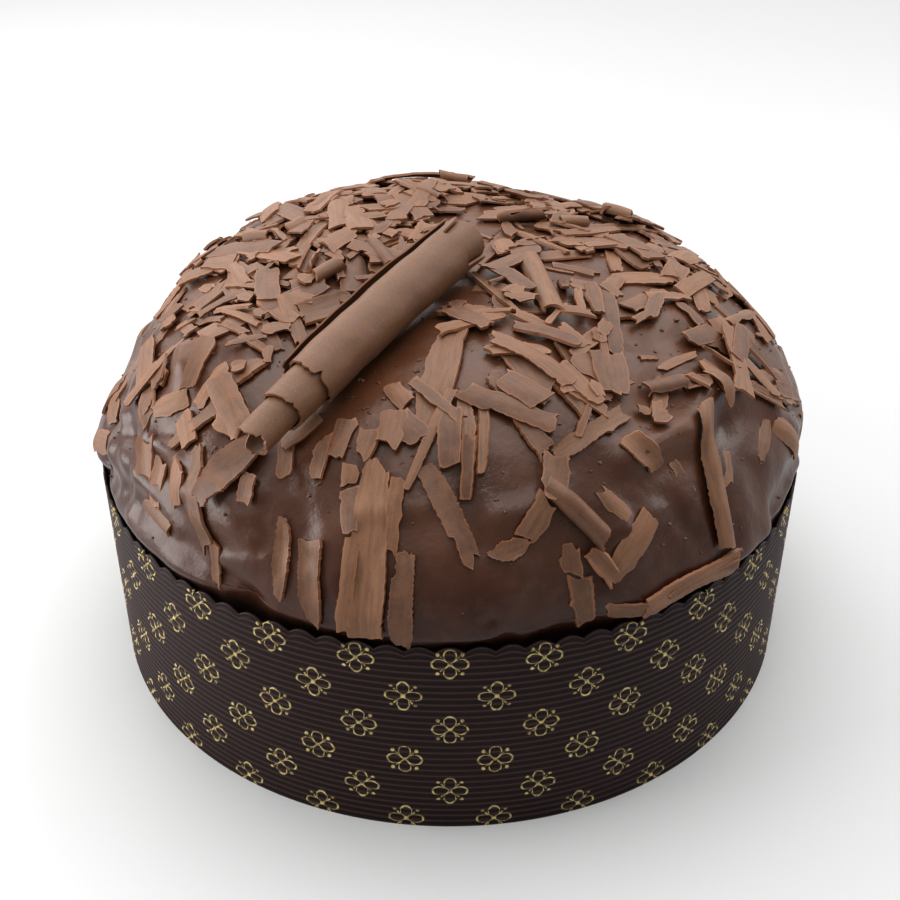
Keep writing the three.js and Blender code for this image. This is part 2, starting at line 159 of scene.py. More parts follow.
# Smaller shavings seen one by one: from, to, the sheet's width, and the degrees of its curl, which are
# negative where it lies with its closed side up
SMALL_SHAVINGS = [
    # In front and at the sides
    ((-15.5, 97), (-14, 109), 5, -20), ((-13.6, 109), (-13.8, 134), 4.2, -30),
    ((-8, 94), (-8.5, 112), 3.5, -30), ((0.5, 70), (-6.5, 97), 2.4, -40), ((-9, 79), (-5, 84), 7, -20),
    ((14, 100), (10.5, 109), 6, -30), ((6.5, 75), (5, 93), 2.6, 60), ((3.5, 83), (2.5, 99), 3.4, 40),
    ((0.5, 76), (0, 91), 6, 30), ((-13, 68), (-8, 75), 5, -30), ((-14, 82), (-14.5, 90), 5.5, 40),
    ((-10, 77), (-10.5, 86), 6.5, -30), ((-19.5, 80), (-19, 91), 5, -30),
    ((-16, 92), (-16, 97), 4.4, -20), ((17, 91), (15, 102), 6.5, -40), ((30, 91), (34, 101), 6, 60),
    ((20, 114.5), (22.5, 123), 5, 90), ((17, 112.5), (17, 120), 5, 40), ((18, 121), (18.5, 134), 6, 70),
    ((22, 132), (27, 133.5), 4.5, -40), ((32, 134), (43, 134), 4, -30), ((46, 80), (40, 87), 4.4, 60),
    ((48, 84), (53, 88), 5, 120), ((28, 78), (22, 87), 2.2, 50), ((24, 72), (29, 83), 4.4, 30),
    ((30, 64), (36, 78), 8.5, -22), ((25, 66), (28, 80), 5.5, 30), ((38, 66), (33, 78), 10, 25),
    ((16, 57), (20, 74), 9, 22), ((10, 58), (24, 61), 4.6, -25), ((-46, 106), (-45, 118), 6.5, -30),
    ((-43, 86), (-41, 94), 7, -30), ((-65, 97), (-58, 103), 6, 40), ((-70, 92), (-66, 98), 6.5, 25),
    ((-66, 90), (-62, 95), 6, 30), ((-62, 97), (-60, 105), 4, -40), ((-57, 107), (-54, 118), 6, 50),
    ((-52, 110), (-50, 121), 5, 40), ((-78, 122), (-83, 131), 6, 35), ((-32, 100.5), (-31, 108), 5, 30),
    ((-22, 86), (-21.5, 97), 4, 30), ((-37, 73), (-35, 83), 5, -25), ((-35.5, 121), (-35, 134), 3, 30),
    ((60, 76), (75, 86), 6, -50), ((66, 97), (78, 108), 5.5, -70), ((64, 110), (69, 125), 6, -60),
    ((70, 105), (80, 118), 6, 40), ((77, 120), (79, 133), 5, -60), ((50, 106), (47, 113), 5, -40),
    ((22, 32), (38, 40), 8, 30), ((0, 36), (12, 48), 6, -40), ((-60, 76), (-54, 90), 5, 30),
    ((-52, 78), (-50, 92), 4.5, -30), ((-60, 63), (-46, 66), 5.5, -30), ((-30, 88), (-27, 99), 4.6, 30),
    ((-26, 80), (-29, 91), 5, -30), ((-52, 96), (-46, 101), 6, -25),
    # On the crown
    ((86, 23), (37, 47), 8.5, -170), ((136, 27), (30, 11), 4.5, 30), ((162, 32), (135, 52), 8, 25),
    ((142, 28), (94, 35), 2.5, 60), ((80, 31), (78, 43), 3.5, 40), ((29, 13), (27, 40), 2.5, 60),
    ((6, 40), (24, 41), 2.5, 30), ((-4, 48), (19, 43), 4.5, 20), ((29, 31), (37, 39), 4.5, -60),
    ((24, 42), (31, 50), 4, 40), ((105, 50), (83, 49), 4, 25), ((100, 53), (89, 58), 9.5, 20),
    ((60, 49), (42, 67), 5, 30), ((63, 44), (47, 55), 4, 50), ((57, 40), (60, 45), 5.5, 30),
    ((65, 47), (61, 54), 4, 30), ((55, 43), (45, 51), 2.5, 30), ((65, 35), (53, 40), 2.5, 30),
    ((56, 58), (68, 60), 6, -50), ((53, 62), (60, 63), 2.5, -40), ((30, 64), (43, 59), 4.5, 25),
    ((38, 48), (44, 55), 4.5, 40), ((-179, 54), (161, 63), 4.5, 20), ((-168, 46), (169, 44), 11, 30),
    ((-164, 34), (173, 33), 4.5, 30), ((151, 52), (142, 52), 3.5, 30), ((133, 42), (122, 42), 4, 40),
    ((122, 52), (119, 73), 5.5, 40), ((144, 70), (126, 68), 4, -60), ((120, 45), (119, 50), 5, 30),
    ((88, 72), (74, 76), 5.5, -20), ((74, 62), (58, 65), 4.5, -25), ((41, 80), (49, 84), 4.5, -110),
    ((55, 85), (53, 96), 5, -90), ((48, 77), (58, 80), 2.5, -25), ((71, 78), (69, 90), 8.5, -80),
    ((66, 88), (66, 106), 7.5, -60), ((73, 83), (93, 99), 3.5, -90), ((72, 86), (74, 103), 4.5, 60),
    ((73, 99), (75, 108), 3.5, 40), ((99, 66), (81, 70), 4, 40), ((97, 70), (95, 81), 5.5, 30),
    ((97, 61), (88, 62), 2.5, -40), ((77, 66), (76, 71), 8, 30), ((76, 77), (76, 83), 3, 30),
    ((61, 96), (66, 107), 3.5, 50), ((36, 84), (38, 86), 2.5, -30), ((41, 85), (38, 89), 2.5, -40),
    ((41, 61), (34, 74), 2.5, 50), ((51, 83), (51, 90), 2.5, 70), ((-114, 72), (-108, 46), 4, 25),
    ((-103, 73), (-90, 51), 7.5, 55), ((-120, 45), (-81, 46), 4.5, 30), ((-91, 64), (-72, 64), 4, -60),
    ((-80, 71), (-84, 67), 4, 30), ((-91, 63), (-78, 56), 2.5, 40), ((-82, 56), (-70, 57), 3, 30),
    ((-74, 51), (-69, 48), 2.5, 30), ((-69, 48), (-67, 39), 5.5, -50), ((-60, 61), (-64, 40), 7.5, -45),
    ((-63, 53), (-44, 59), 4.5, -50), ((-53, 52), (-51, 35), 8.5, 60), ((-41, 64), (-43, 49), 3.5, -60),
    ((-36, 59), (-42, 45), 2.5, -40), ((-45, 39), (-77, 20), 3.5, -25), ((-92, 36), (-67, 34), 3, 30),
    ((-93, 32), (-77, 28), 2.5, 40), ((-130, 46), (-105, 29), 3.5, -60), ((-114, 27), (-152, 30), 7, 30),
    ((-100, 22), (-151, 15), 3.5, 30), ((-133, 42), (-147, 39), 8.5, -40), ((-118, 54), (-115, 49), 3, 30),
    ((-134, 65), (-142, 58), 7.5, 30), ((-142, 58), (-153, 51), 6.5, 30), ((-149, 45), (-169, 43), 8, -40),
    ((-154, 59), (-167, 43), 3, 40), ((-77, 79), (-64, 70), 3, -60), ((-68, 69), (-55, 64), 2.5, -50),
    ((-71, 71), (-63, 62), 2.5, 60), ((-53, 64), (-50, 58), 4, -30), ((-78, 83), (-66, 79), 4.5, -40),
    ((-63, 71), (-55, 68), 2.5, 30), ((-55, 70), (-48, 68), 2.5, 30), ((-48, 67), (-45, 71), 2.5, -30),
]

# Looser flakes that lie on all the rest, by kind: how many, lengths, widths, curls and ends
LOOSE_SEED = 77
LOOSE_REACH = 133
STICK_REACH = 70
SHOULDER = 92
LOOSE_KINDS = {
    "strips": (230, (9, 26), (3, 7.8), (6, 45), (1.0, 0.85)),
    "chips": (170, (3.5, 8), (3, 6), (5, 30), (0.8, 0.6)),
    "splinters": (130, (5, 14), (0.9, 2.0), (10, 50), (0.8, 0.5)),
    "sticks": (12, (8, 16), (6, 10), (170, 320), (1.0, 1.0)),
}

# How a small shaving lies: the share of the heap's height that bears it, the share of the dome's fall
# that its ends follow, the most it leans, and what it costs it to roll and to tilt
HEAP_FIRMNESS = 0.72
SAG_SHARE = 0.8
MOST_LEAN = 0.3
ROLL_COST = 2.4
TILT_COST = 4.2

# Places where the coating lies bare, and how far they reach
BARE_PLACES = [
    ((70, 43), 15), ((62, 72), 11), ((-96, 84), 13), ((-64, 86), 9), ((-22, 60), 13), ((88, 86), 9),
]

# Camera
CAMERA_ELEVATION = 33.0
CAMERA_DISTANCE = 422.2
CAMERA_AIM = 53.8
FOCAL_PIXELS = 1307.0
IMAGE_PIXELS = 900
SENSOR_WIDTH = 36.0

FLOOR_SIDE = 40000.0


def linear(code):
    """An sRGB hex colour as linear RGBA."""
    parts = [int(code[i:i + 2], 16) / 255 for i in (1, 3, 5)]
    return [p / 12.92 if p <= 0.04045 else ((p + 0.055) / 1.055) ** 2.4 for p in parts] + [1.0]


def feed(node, *values, **named):
    """Gives a node its inputs, in order and then by name, with _ for a space. Each is a plain value, an
    output, or a node that stands for its first output in use."""
    given = list(zip([socket for socket in node.inputs if socket.enabled], values))
    given += [(node.inputs[name.replace("_", " ")], value) for name, value in named.items()]
    for socket, value in given:
        if isinstance(value, bpy.types.Node):
            value = next(output for output in value.outputs if output.enabled)
        if isinstance(value, bpy.types.NodeSocket):
            node.id_data.links.new(value, socket)
        else:
            socket.default_value = value


def add_node(tree, kind, *values, **named):
    """Adds a node to a tree: a name in small letters is a setting of its own, all the rest feeds it."""
    node = tree.nodes.new(kind)
    for name, value in named.items():
        if name.islower():
            setattr(node, name, value)
    feed(node, *values, **{name: value for name, value in named.items() if not name.islower()})
    return node


# The dome's form

def dome_outline():
    """Distance from the crown, radius and level along the dome's outline, down to the case's rim."""
    angle = np.pi / 2 * (1 - np.arange(OUTLINE_STEPS + 1) / OUTLINE_STEPS)
    radius = WIDEST_RADIUS * np.cos(angle) ** (2 / SHOULDER_POWER)
    radius[0] = 0
    level = WIDEST_LEVEL + (CROWN_LEVEL - WIDEST_LEVEL) * np.sin(angle) ** (2 / CROWN_POWER)
    tuck_steps = OUTLINE_STEPS // 10
    part = np.arange(1, tuck_steps + 1) / tuck_steps
    tuck = CAKE_RADIUS + (WIDEST_RADIUS - CAKE_RADIUS) * (0.5 + 0.5 * np.cos(part * np.pi))
    radius = np.concatenate([radius, tuck])
    level = np.concatenate([level, WIDEST_LEVEL + (RIM_LEVEL - WIDEST_LEVEL) * part])
    along = np.concatenate([[0], np.cumsum(np.hypot(np.diff(radius), np.diff(level)))])
    return along, radius, level


OUT_ALONG, OUT_RADIUS, OUT_LEVEL = dome_outline()
DOME_LENGTH = float(OUT_ALONG[-1])


def outline_at(along):
    return np.interp(along, OUT_ALONG, OUT_RADIUS), np.interp(along, OUT_ALONG, OUT_LEVEL)


def on_plan(place):
    angle = math.radians(place[0])
    return np.array([place[1] * math.sin(angle), -place[1] * math.cos(angle)])


def distance_to_line(points, start, end):
    line = end - start
    length = float(line @ line)
    offset = points - start
    part = np.clip(offset @ line / length, 0, 1) if length else np.zeros(offset.shape[:-1])
    return np.linalg.norm(offset - part[..., None] * line, axis=-1)


RELIEF_LINES = [(on_plan(a), on_plan(b), reach, height) for a, b, reach, height in RELIEF]

# Finer folds, runs and gaps at the rim, which the solid leaves out
FINE_RELIEF = [
    ((-72, 133), (-30, 134), 6, -3.4),
    ((-28, 134), (-8, 135), 4, -1.3),
    ((8, 134), (24, 135), 4, -1.2),
    ((58, 132), (80, 131), 6, -3.2),
    ((33, 95), (60, 92), 3, 1.2),
    ((-80, 108), (-60, 118), 4, 1.3),
    ((-60, 110), (-48, 106), 3, 1.4),
    ((-56, 118), (-44, 124), 3, 1.3),
    ((-70, 119), (-62, 127), 3.5, 1.5),
    ((-40, 108), (-30, 104), 3, 1.2),
    ((-36, 127), (-26, 120), 2.5, 0.9),
    ((-66, 104), (-56, 98), 4, 1.2),
    ((6, 104), (18, 101), 3.5, 0.9),
    ((-14, 104), (-4, 101), 3, 0.8),
    ((-30, 113), (-20, 117), 3, -0.9),
    ((-50, 112), (-44, 118), 3, -1.0),
    ((-64, 112), (-58, 120), 3.5, -1.2),
    ((24, 112), (34, 110), 3, 0.8),
    ((-86, 96), (-76, 104), 5, 1.5),
    ((-76, 120), (-52, 112), 3.5, -1.4),
    ((30, 94), (48, 95), 4.5, 1.7),
    ((36, 100), (52, 99), 4.5, -1.5),
    ((52, 90), (66, 106), 4, 1.2),
    ((-44, 113), (-30, 111), 3, 1.0),
    ((-42, 119), (-32, 122), 4, -0.9),
    ((-58, 104), (-56, 130), 3.5, 1.0),
    ((-68, 112), (-66, 128), 4, 1.2),
    ((-77, 110), (-75, 122), 3.5, -1.3),
    ((-24, 98), (-21, 110), 3.5, -0.9),
    ((-16, 120), (-13, 132), 3, 0.7),
    ((2, 93), (4, 110), 3.5, -0.8),
    ((13, 108), (9, 122), 3, 0.8),
    ((24, 104), (27, 120), 3, 0.8),
    ((34, 108), (38, 124), 3.2, -0.9),
    ((18, 62), (34, 54), 4, 0.9),
    ((44, 62), (60, 76), 5, -0.9),
    ((5.5, 129), (5.5, 129), 1.6, -1.3),
    ((9.5, 115), (9.5, 115), 1.6, 0.8),
]
FINE_LINES = [(on_plan(a), on_plan(b), reach, height) for a, b, reach, height in FINE_RELIEF]

# Lumps where the coating ran and set: size, height and seed
LUMPS = [(25, 1.1, 1), (11.5, 0.7, 2), (7, 0.16, 3)]


def lumps_at(points, size, seed):
    """Smooth random lumps of about the given size, from -1 to 1, over the plan."""
    cells = int(300 / size) + 2
    lattice = np.random.default_rng(seed).uniform(-1, 1, (cells + 1, cells + 1))
    spot = (points + 150) / size
    corner = np.clip(spot.astype(int), 0, cells - 1)
    inside = spot - corner
    inside = inside ** 3 * (inside * (inside * 6 - 15) + 10)
    u, v = inside[..., 0], inside[..., 1]
    i, j = corner[..., 0], corner[..., 1]
    near = lattice[i, j] * (1 - u) + lattice[i + 1, j] * u
    far = lattice[i, j + 1] * (1 - u) + lattice[i + 1, j + 1] * u
    return near * (1 - v) + far * v


def relief_at(points):
    height = np.zeros(points.shape[:-1])
    for start, end, reach, rise in RELIEF_LINES + FINE_LINES:
        away = distance_to_line(points, start, end) / reach
        height += rise * np.exp(-away * away)
    turned = points @ np.array([[0.8, -0.6], [0.6, 0.8]])
    for size, rise, seed in LUMPS:
        bent = turned + 0.35 * size * np.stack([lumps_at(points, size * 1.7, seed + 10),
                                                lumps_at(points, size * 1.7, seed + 20)], axis=-1)
        height += rise * lumps_at(bent, size, seed)
    return height


def above_dome(points, height):
    """The points at a height above the coating over points of the plan."""
    along = np.linalg.norm(points, axis=-1)
    nearby = 0.5
    radius, level = outline_at(along)
    radius_before, level_before = outline_at(np.maximum(along - nearby, 0))
    radius_after, level_after = outline_at(np.minimum(along + nearby, DOME_LENGTH))
    run, fall = radius_after - radius_before, level_after - level_before
    length = np.hypot(run, fall)
    up = relief_at(points) + height
    radius = radius - fall / length * up
    level = level + run / length * up
    outward = points / np.maximum(along, 1e-9)[..., None]
    return np.concatenate([outward * radius[..., None], level[..., None]], axis=-1)


def moved_on_plan(points, steps):
    """Moves points of the plan by real distances: round the dome the plan is wider than the dome is."""
    along = np.linalg.norm(points, axis=-1, keepdims=True)
    outward = points / np.maximum(along, 1e-9)
    down = np.sum(steps * outward, axis=-1, keepdims=True)
    around = steps - outward * down
    widening = np.where(along < 1, 1, along / np.maximum(outline_at(along)[0], 1e-9))
    return points + outward * down + around * widening


# Meshes from arrays

def sheet_faces(rows, columns):
    """The quads of a closed sheet: its face, its back and its rim."""
    at = np.arange((rows + 1) * (columns + 1)).reshape(rows + 1, columns + 1)
    back = at.size
    face = np.stack([at[:-1, :-1], at[1:, :-1], at[1:, 1:], at[:-1, 1:]], axis=-1).reshape(-1, 4)
    rim = np.concatenate([at[:-1, 0], at[-1, :-1], at[:0:-1, -1], at[0, :0:-1]])
    ahead = np.roll(rim, -1)
    edge = np.stack([ahead, rim, rim + back, ahead + back], axis=-1)
    return np.concatenate([face, face[:, ::-1] + back, edge])


class Parts:
    """Gathers pieces of one kind, to be joined as one mesh."""

    def __init__(self):
        self.points, self.faces, self.along, self.rim, self.tone = [], [], [], [], []
        self.count = 0

    def add(self, points, faces, along, rim, tone):
        self.points.append(points)
        self.faces.append(faces + self.count)
        self.along.append(along)
        self.rim.append(rim)
        self.tone.append(np.full(len(points), tone))
        self.count += len(points)

    def piece(self, name, material, sharp=38):
        made = new_piece(name, np.concatenate(self.points), np.concatenate(self.faces), material, sharp)
        give_values(made, "rim", np.concatenate(self.rim))
        give_values(made, "tone", np.concatenate(self.tone))
        give_map(made, np.concatenate(self.along))
        return made


def in_scene(name, data):
    """A new object of the scene that holds a mesh, a light or a camera."""
    made = bpy.data.objects.new(name, data)
    bpy.context.scene.collection.objects.link(made)
    return made


def new_piece(name, points, quads, material, sharp=None, triangles=None):
    """A mesh object at the origin from points in mm, quads, and triangles if there are any."""
    mesh = bpy.data.meshes.new(name)
    triangles = np.empty((0, 3), int) if triangles is None else triangles
    corners = np.concatenate([quads.ravel(), triangles.ravel()]).astype(np.int32)
    starts = np.concatenate([np.arange(len(quads)) * 4, len(quads) * 4 + np.arange(len(triangles)) * 3])
    mesh.vertices.add(len(points))
    mesh.vertices.foreach_set("co", (np.asarray(points, np.float64) * MM).ravel())
    mesh.loops.add(len(corners))
    mesh.loops.foreach_set("vertex_index", corners)
    mesh.polygons.add(len(starts))
    mesh.polygons.foreach_set("loop_start", starts.astype(np.int32))
    mesh.update(calc_edges=True)
    mesh.validate()
    mesh.polygons.foreach_set("use_smooth", np.ones(len(mesh.polygons), bool))
    if sharp:
        mesh.set_sharp_from_angle(angle=math.radians(sharp))
    mesh.materials.append(material)
    return in_scene(name, mesh)


def give_values(piece, name, values):
    layer = piece.data.attributes.new(name, "FLOAT", "POINT")
    layer.data.foreach_set("value", np.asarray(values, np.float32))


def give_map(piece, places):
    """A UV map in metres from one place for each vertex."""
    layer = piece.data.uv_layers.new(name="along")
    corner = np.empty(len(piece.data.loops), np.int32)
    piece.data.loops.foreach_get("vertex_index", corner)
    layer.uv.foreach_set("vector", (places[corner] * MM).astype(np.float32).ravel())


# Shavings

def broken_line(draw, count, size, knots):
    """A broken edge: random offsets of about the given size at a few corners, with fine teeth between."""
    t = np.linspace(0, 1, count)
    corners = np.sort(np.concatenate([[0, 1], draw.random(knots)]))
    return np.interp(t, corners, draw.normal(size=knots + 2) * size) + draw.normal(size=count) * size * 0.27


def scraped_sheet(draw, length, wide, turn, ends, thick, rows, columns, roughness, bow=0.0, arch=0.0):
    """A shaving in its own frame: along, across and rise for its face and its back, with its map and rim.
    Its section is an arc, its long sides are cut nearly straight, and its ends are broken off aslant."""
    i, j = np.meshgrid(np.arange(rows + 1) / rows, np.arange(columns + 1) / columns, indexing="ij")
    from_middle = np.abs(2 * i - 1)
    narrowing = 1 + (np.where(i < 0.5, ends[0], ends[1]) - 1) * from_middle ** 2
    left = broken_line(draw, rows + 1, 0.75 * roughness / wide, 4)[:, None]
    right = broken_line(draw, rows + 1, 0.75 * roughness / wide, 4)[:, None]
    across_part = (j - 0.5) * narrowing + np.where(j < 0.5, left * (0.5 - j) * 2, right * (j - 0.5) * 2)
    limit = 0.16 * length
    cuts = []
    for _ in range(2):
        slant = draw.normal() * 0.3 * wide * np.linspace(-0.5, 0.5, columns + 1)
        cuts.append(np.clip(broken_line(draw, columns + 1, roughness * 1.3, 3) + slant, -limit, limit))
    along = -length / 2 + i * length + cuts[0] * (1 - i) + cuts[1] * i
    turn = math.radians(turn)
    arc = wide / turn
    angle = across_part * turn
    wander = 0.06 * np.sin(i * length / 3.1 + draw.random() * 6) * np.sin(j * 5 + draw.random() * 6)
    faces = []
    for side in (1, -1):
        reach = arc - side * thick / 2
        across = reach * np.sin(angle) + bow * (1 - from_middle ** 2)
        rise = arc + thick / 2 - reach * np.cos(angle) + wander + arch * (1 - from_middle ** 2)
        faces.append(np.stack([along, across, rise], axis=-1).reshape(-1, 3))
    rim = np.maximum.reduce([i == 0, i == 1, j == 0, j == 1]).astype(float).ravel()
    spot = draw.random(2) * 200
    places = np.stack([along.ravel(), (j * wide).ravel()], axis=-1) + spot
    return np.concatenate(faces), np.tile(places, (2, 1)), np.tile(rim, 2)


def wrapped_shaving(spec, draw, rows, columns):
    """A large shaving laid along the dome's curve, as its solid is, and its back's places on the plan."""
    start, end, wide, turn, bow, ends, lift = spec
    start, end = on_plan(start), on_plan(end)
    length = float(np.linalg.norm(end - start))
    heading = (end - start) / length
    aside = np.array([-heading[1], heading[0]])
    local, places, rim = scraped_sheet(draw, length, wide, turn, ends, SHEET_THICK, rows, columns, 0.5, bow)
    if turn > ROLLED_FROM:
        local[:, 2] = np.max(local[:, 2]) - local[:, 2]
    part = np.clip(local[:, 0] / length + 0.5, -0.1, 1.1)
    middle = start + part[:, None] * (end - start)
    plan = moved_on_plan(middle, local[:, 1:2] * aside)
    height = SHAVING_GAP - 0.1 + local[:, 2] + lift[0] + (lift[1] - lift[0]) * part
    return above_dome(plan, height), places, rim, plan, height


class Heap:
    """How high the shavings already lie above the coating, on a square grid over the plan."""
    SIDE = 290.0
    CELL = 0.8

    def __init__(self):
        cells = int(self.SIDE / self.CELL)
        self.height = np.zeros((cells, cells))

    def cells(self, plan):
        index = ((plan + self.SIDE / 2) / self.CELL).astype(int)
        return np.clip(index, 0, self.height.shape[0] - 1)

    def at(self, plan):
        index = self.cells(plan)
        return self.height[index[..., 0], index[..., 1]]

    def raise_to(self, plan, height):
        index = self.cells(plan)
        np.maximum.at(self.height, (index[..., 0], index[..., 1]), height)


def spots_under(middle, heading, length, wide, rows, columns):
    """A grid of spots under a shaving: how far along and across it each lies, and its place on the plan."""
    u, v = np.meshgrid(np.linspace(-0.5, 0.5, rows) * length, np.linspace(-0.5, 0.5, columns) * wide)
    u, v = u.ravel(), v.ravel()
    steps = u[:, None] * heading + v[:, None] * np.array([-heading[1], heading[0]])
    return u, v, moved_on_plan(np.broadcast_to(middle, (len(u), 2)), steps)


def lay_down(heap, middle, heading, length, wide, local, sink):
    """Lays a shaving on the heap in the pose that brings its middle lowest, lets its ends sag where the
    dome falls away, and adds it to the heap."""
    aside = np.array([-heading[1], heading[0]])
    reach = 2.5
    east, west = (above_dome(moved_on_plan(middle, sign * reach * heading), 0) for sign in (1, -1))
    north, south = (above_dome(moved_on_plan(middle, sign * reach * aside), 0) for sign in (1, -1))
    forward = east - west
    forward /= np.linalg.norm(forward)
    up = np.cross(forward, north - south)
    up /= np.linalg.norm(up)
    sideways = np.cross(up, forward)
    foot = above_dome(middle, 0)
    u, v, plan = spots_under(middle, heading, 0.96 * length, 0.9 * wide, 13, 5)
    ground = above_dome(plan, heap.at(plan) * HEAP_FIRMNESS) - foot
    to_tips = np.array([[0.5], [-0.5]]) * length * heading
    tips = above_dome(moved_on_plan(np.stack([middle, middle]), to_tips), 0)
    sag = SAG_SHARE * min(float(((tips - foot) @ up).mean()), 0.0)
    needed, run, drift = ground @ up - sag * (2 * u / length) ** 2, ground @ forward, ground @ sideways
    tilts = np.linspace(-MOST_LEAN, MOST_LEAN, 13)
    rolls = np.linspace(-MOST_LEAN, MOST_LEAN, 9)
    tilt, roll = (grid.ravel() for grid in np.meshgrid(tilts, rolls, indexing="ij"))
    lift = np.max(needed - tilt[:, None] * run - roll[:, None] * drift, axis=1)
    best = int(np.argmin(lift + ROLL_COST * np.abs(roll) + TILT_COST * np.abs(tilt)))
    lift, tilt, roll = lift[best] - sink, tilt[best], roll[best]
    bend = sag * (2 * local[:, 0] / length) ** 2
    height = lift + tilt * local[:, 0] + roll * local[:, 1] + local[:, 2] + bend
    points = foot + local[:, :1] * forward + local[:, 1:2] * sideways + height[:, None] * up
    spacing = 0.7
    rows, columns = (int(side / spacing) + 2 for side in (length, wide))
    u, v, plan = spots_under(middle, heading, length, wide, rows, columns)
    top = float(np.ptp(local[:, 2])) * 0.75
    surface = above_dome(plan, 0)
    raised = above_dome(plan, 1) - surface
    rise = lift + tilt * u + roll * v + top + sag * (2 * u / length) ** 2
    level = foot + u[:, None] * forward + v[:, None] * sideways + rise[:, None] * up
    heap.raise_to(plan, np.sum((level - surface) * raised, axis=-1))
    return points


def seeded_draw(seed):
    """The same row of random numbers as the solids are strewn with, from 0 to 1."""
    whole = 0xFFFFFFFF
    state = seed

    def draw():
        nonlocal state
        state = (state + 0x6D2B79F5) & whole
        mixed = ((state ^ (state >> 15)) * (1 | state)) & whole
        mixed = ((mixed + (((mixed ^ (mixed >> 7)) * (61 | mixed)) & whole)) & whole) ^ mixed
        return (mixed ^ (mixed >> 14)) / 4294967296
    return draw


def flake_share(point):
    """The share of places at a point where flakes lie: fewer down the front and the right."""
    down = float(np.linalg.norm(point)) / FLAKE_REACH
    angle = math.atan2(point[0], -point[1])
    bareness = 0.62 + 0.36 * math.cos(angle - math.radians(28))
    return 1.08 - bareness * down ** 2.2


CURL_FOOT = [np.array(CURL_LINE[0][:2]), np.array(CURL_LINE[2][:2])]


def scatter_flakes():
    """The flakes that the solid of the cake holds: random places kept apart from each other and the rest."""
    draw = seeded_draw(FLAKE_SEED)
    curl_margin = CURL_CORE + CURL_TURNS * CURL_PITCH + FLAKE_LENGTHS[0] / 3
    flakes = []
    while len(flakes) < FLAKE_COUNT:
        along = FLAKE_REACH * math.sqrt(draw())
        middle = on_plan((draw() * 360, along))
        heading = draw() * math.pi
        shape, fold, chance = draw(), draw(), draw()
        long = FLAKE_LENGTHS[0] + (FLAKE_LENGTHS[1] - FLAKE_LENGTHS[0]) * len(flakes) / FLAKE_COUNT
        wide = long * (0.28 + 0.22 * shape)
        half = np.array([math.cos(heading), math.sin(heading)]) * long / 2
        ends = np.array([middle - half, middle + half])
        crowded = any(np.linalg.norm(flake[0] - middle) < FLAKE_SPACING for flake in flakes)
        probes = np.array([ends[0], middle, ends[1]])
        on_large = False
        for spec in SHAVINGS:
            room = (spec[2] / 4 if spec[3] > 180 else spec[2] / 2) + wide / 2 + FLAKE_MARGIN + 1
            line = np.array([on_plan(spec[0]), on_plan(spec[1])])
            if (distance_to_line(probes, *line) < room).any() or (distance_to_line(line, *ends) < room).any():
                on_large = True
                break
        under_curl = distance_to_line(middle, *CURL_FOOT) < curl_margin
        off_dome = (np.linalg.norm(ends, axis=1) > FLAKE_REACH).any()
        if chance > flake_share(middle) or crowded or on_large or under_curl or off_dome:
            continue
        flakes.append((middle, half / np.linalg.norm(half), long, wide, 20 + 50 * fold))
    return flakes


BARE_SPOTS = [(on_plan(place), reach) for place, reach in BARE_PLACES]


def loose_share(point):
    """The share of places at a point where looser flakes lie: few in front and none low down there."""
    if any(np.linalg.norm(point - middle) < reach for middle, reach in BARE_SPOTS):
        return 0.03
    angle = math.atan2(point[0], -point[1])
    limit = 114 - 26 * math.cos(angle - math.radians(20))
    down = float(np.linalg.norm(point)) / limit
    heaped = 0.85 + 0.9 * float(lumps_at(point, 26, 40))
    behind = 0.6 - 0.45 * math.cos(angle) * min(float(np.linalg.norm(point)) / 40, 1.0)
    return min(max((1.12 - down) / 0.42, 0.0), 1.0) * min(max(heaped, 0.12), 1.0) * behind


# Materials

def new_material(name):
    """A new material, its shader and a maker of its nodes."""
    material = bpy.data.materials.new(name)
    material.use_nodes = True
    return material, material.node_tree.nodes["Principled BSDF"], partial(add_node, material.node_tree)


def every(size):
    """The scale of a pattern that repeats about every so many millimetres."""
    return 1 / (size * MM)


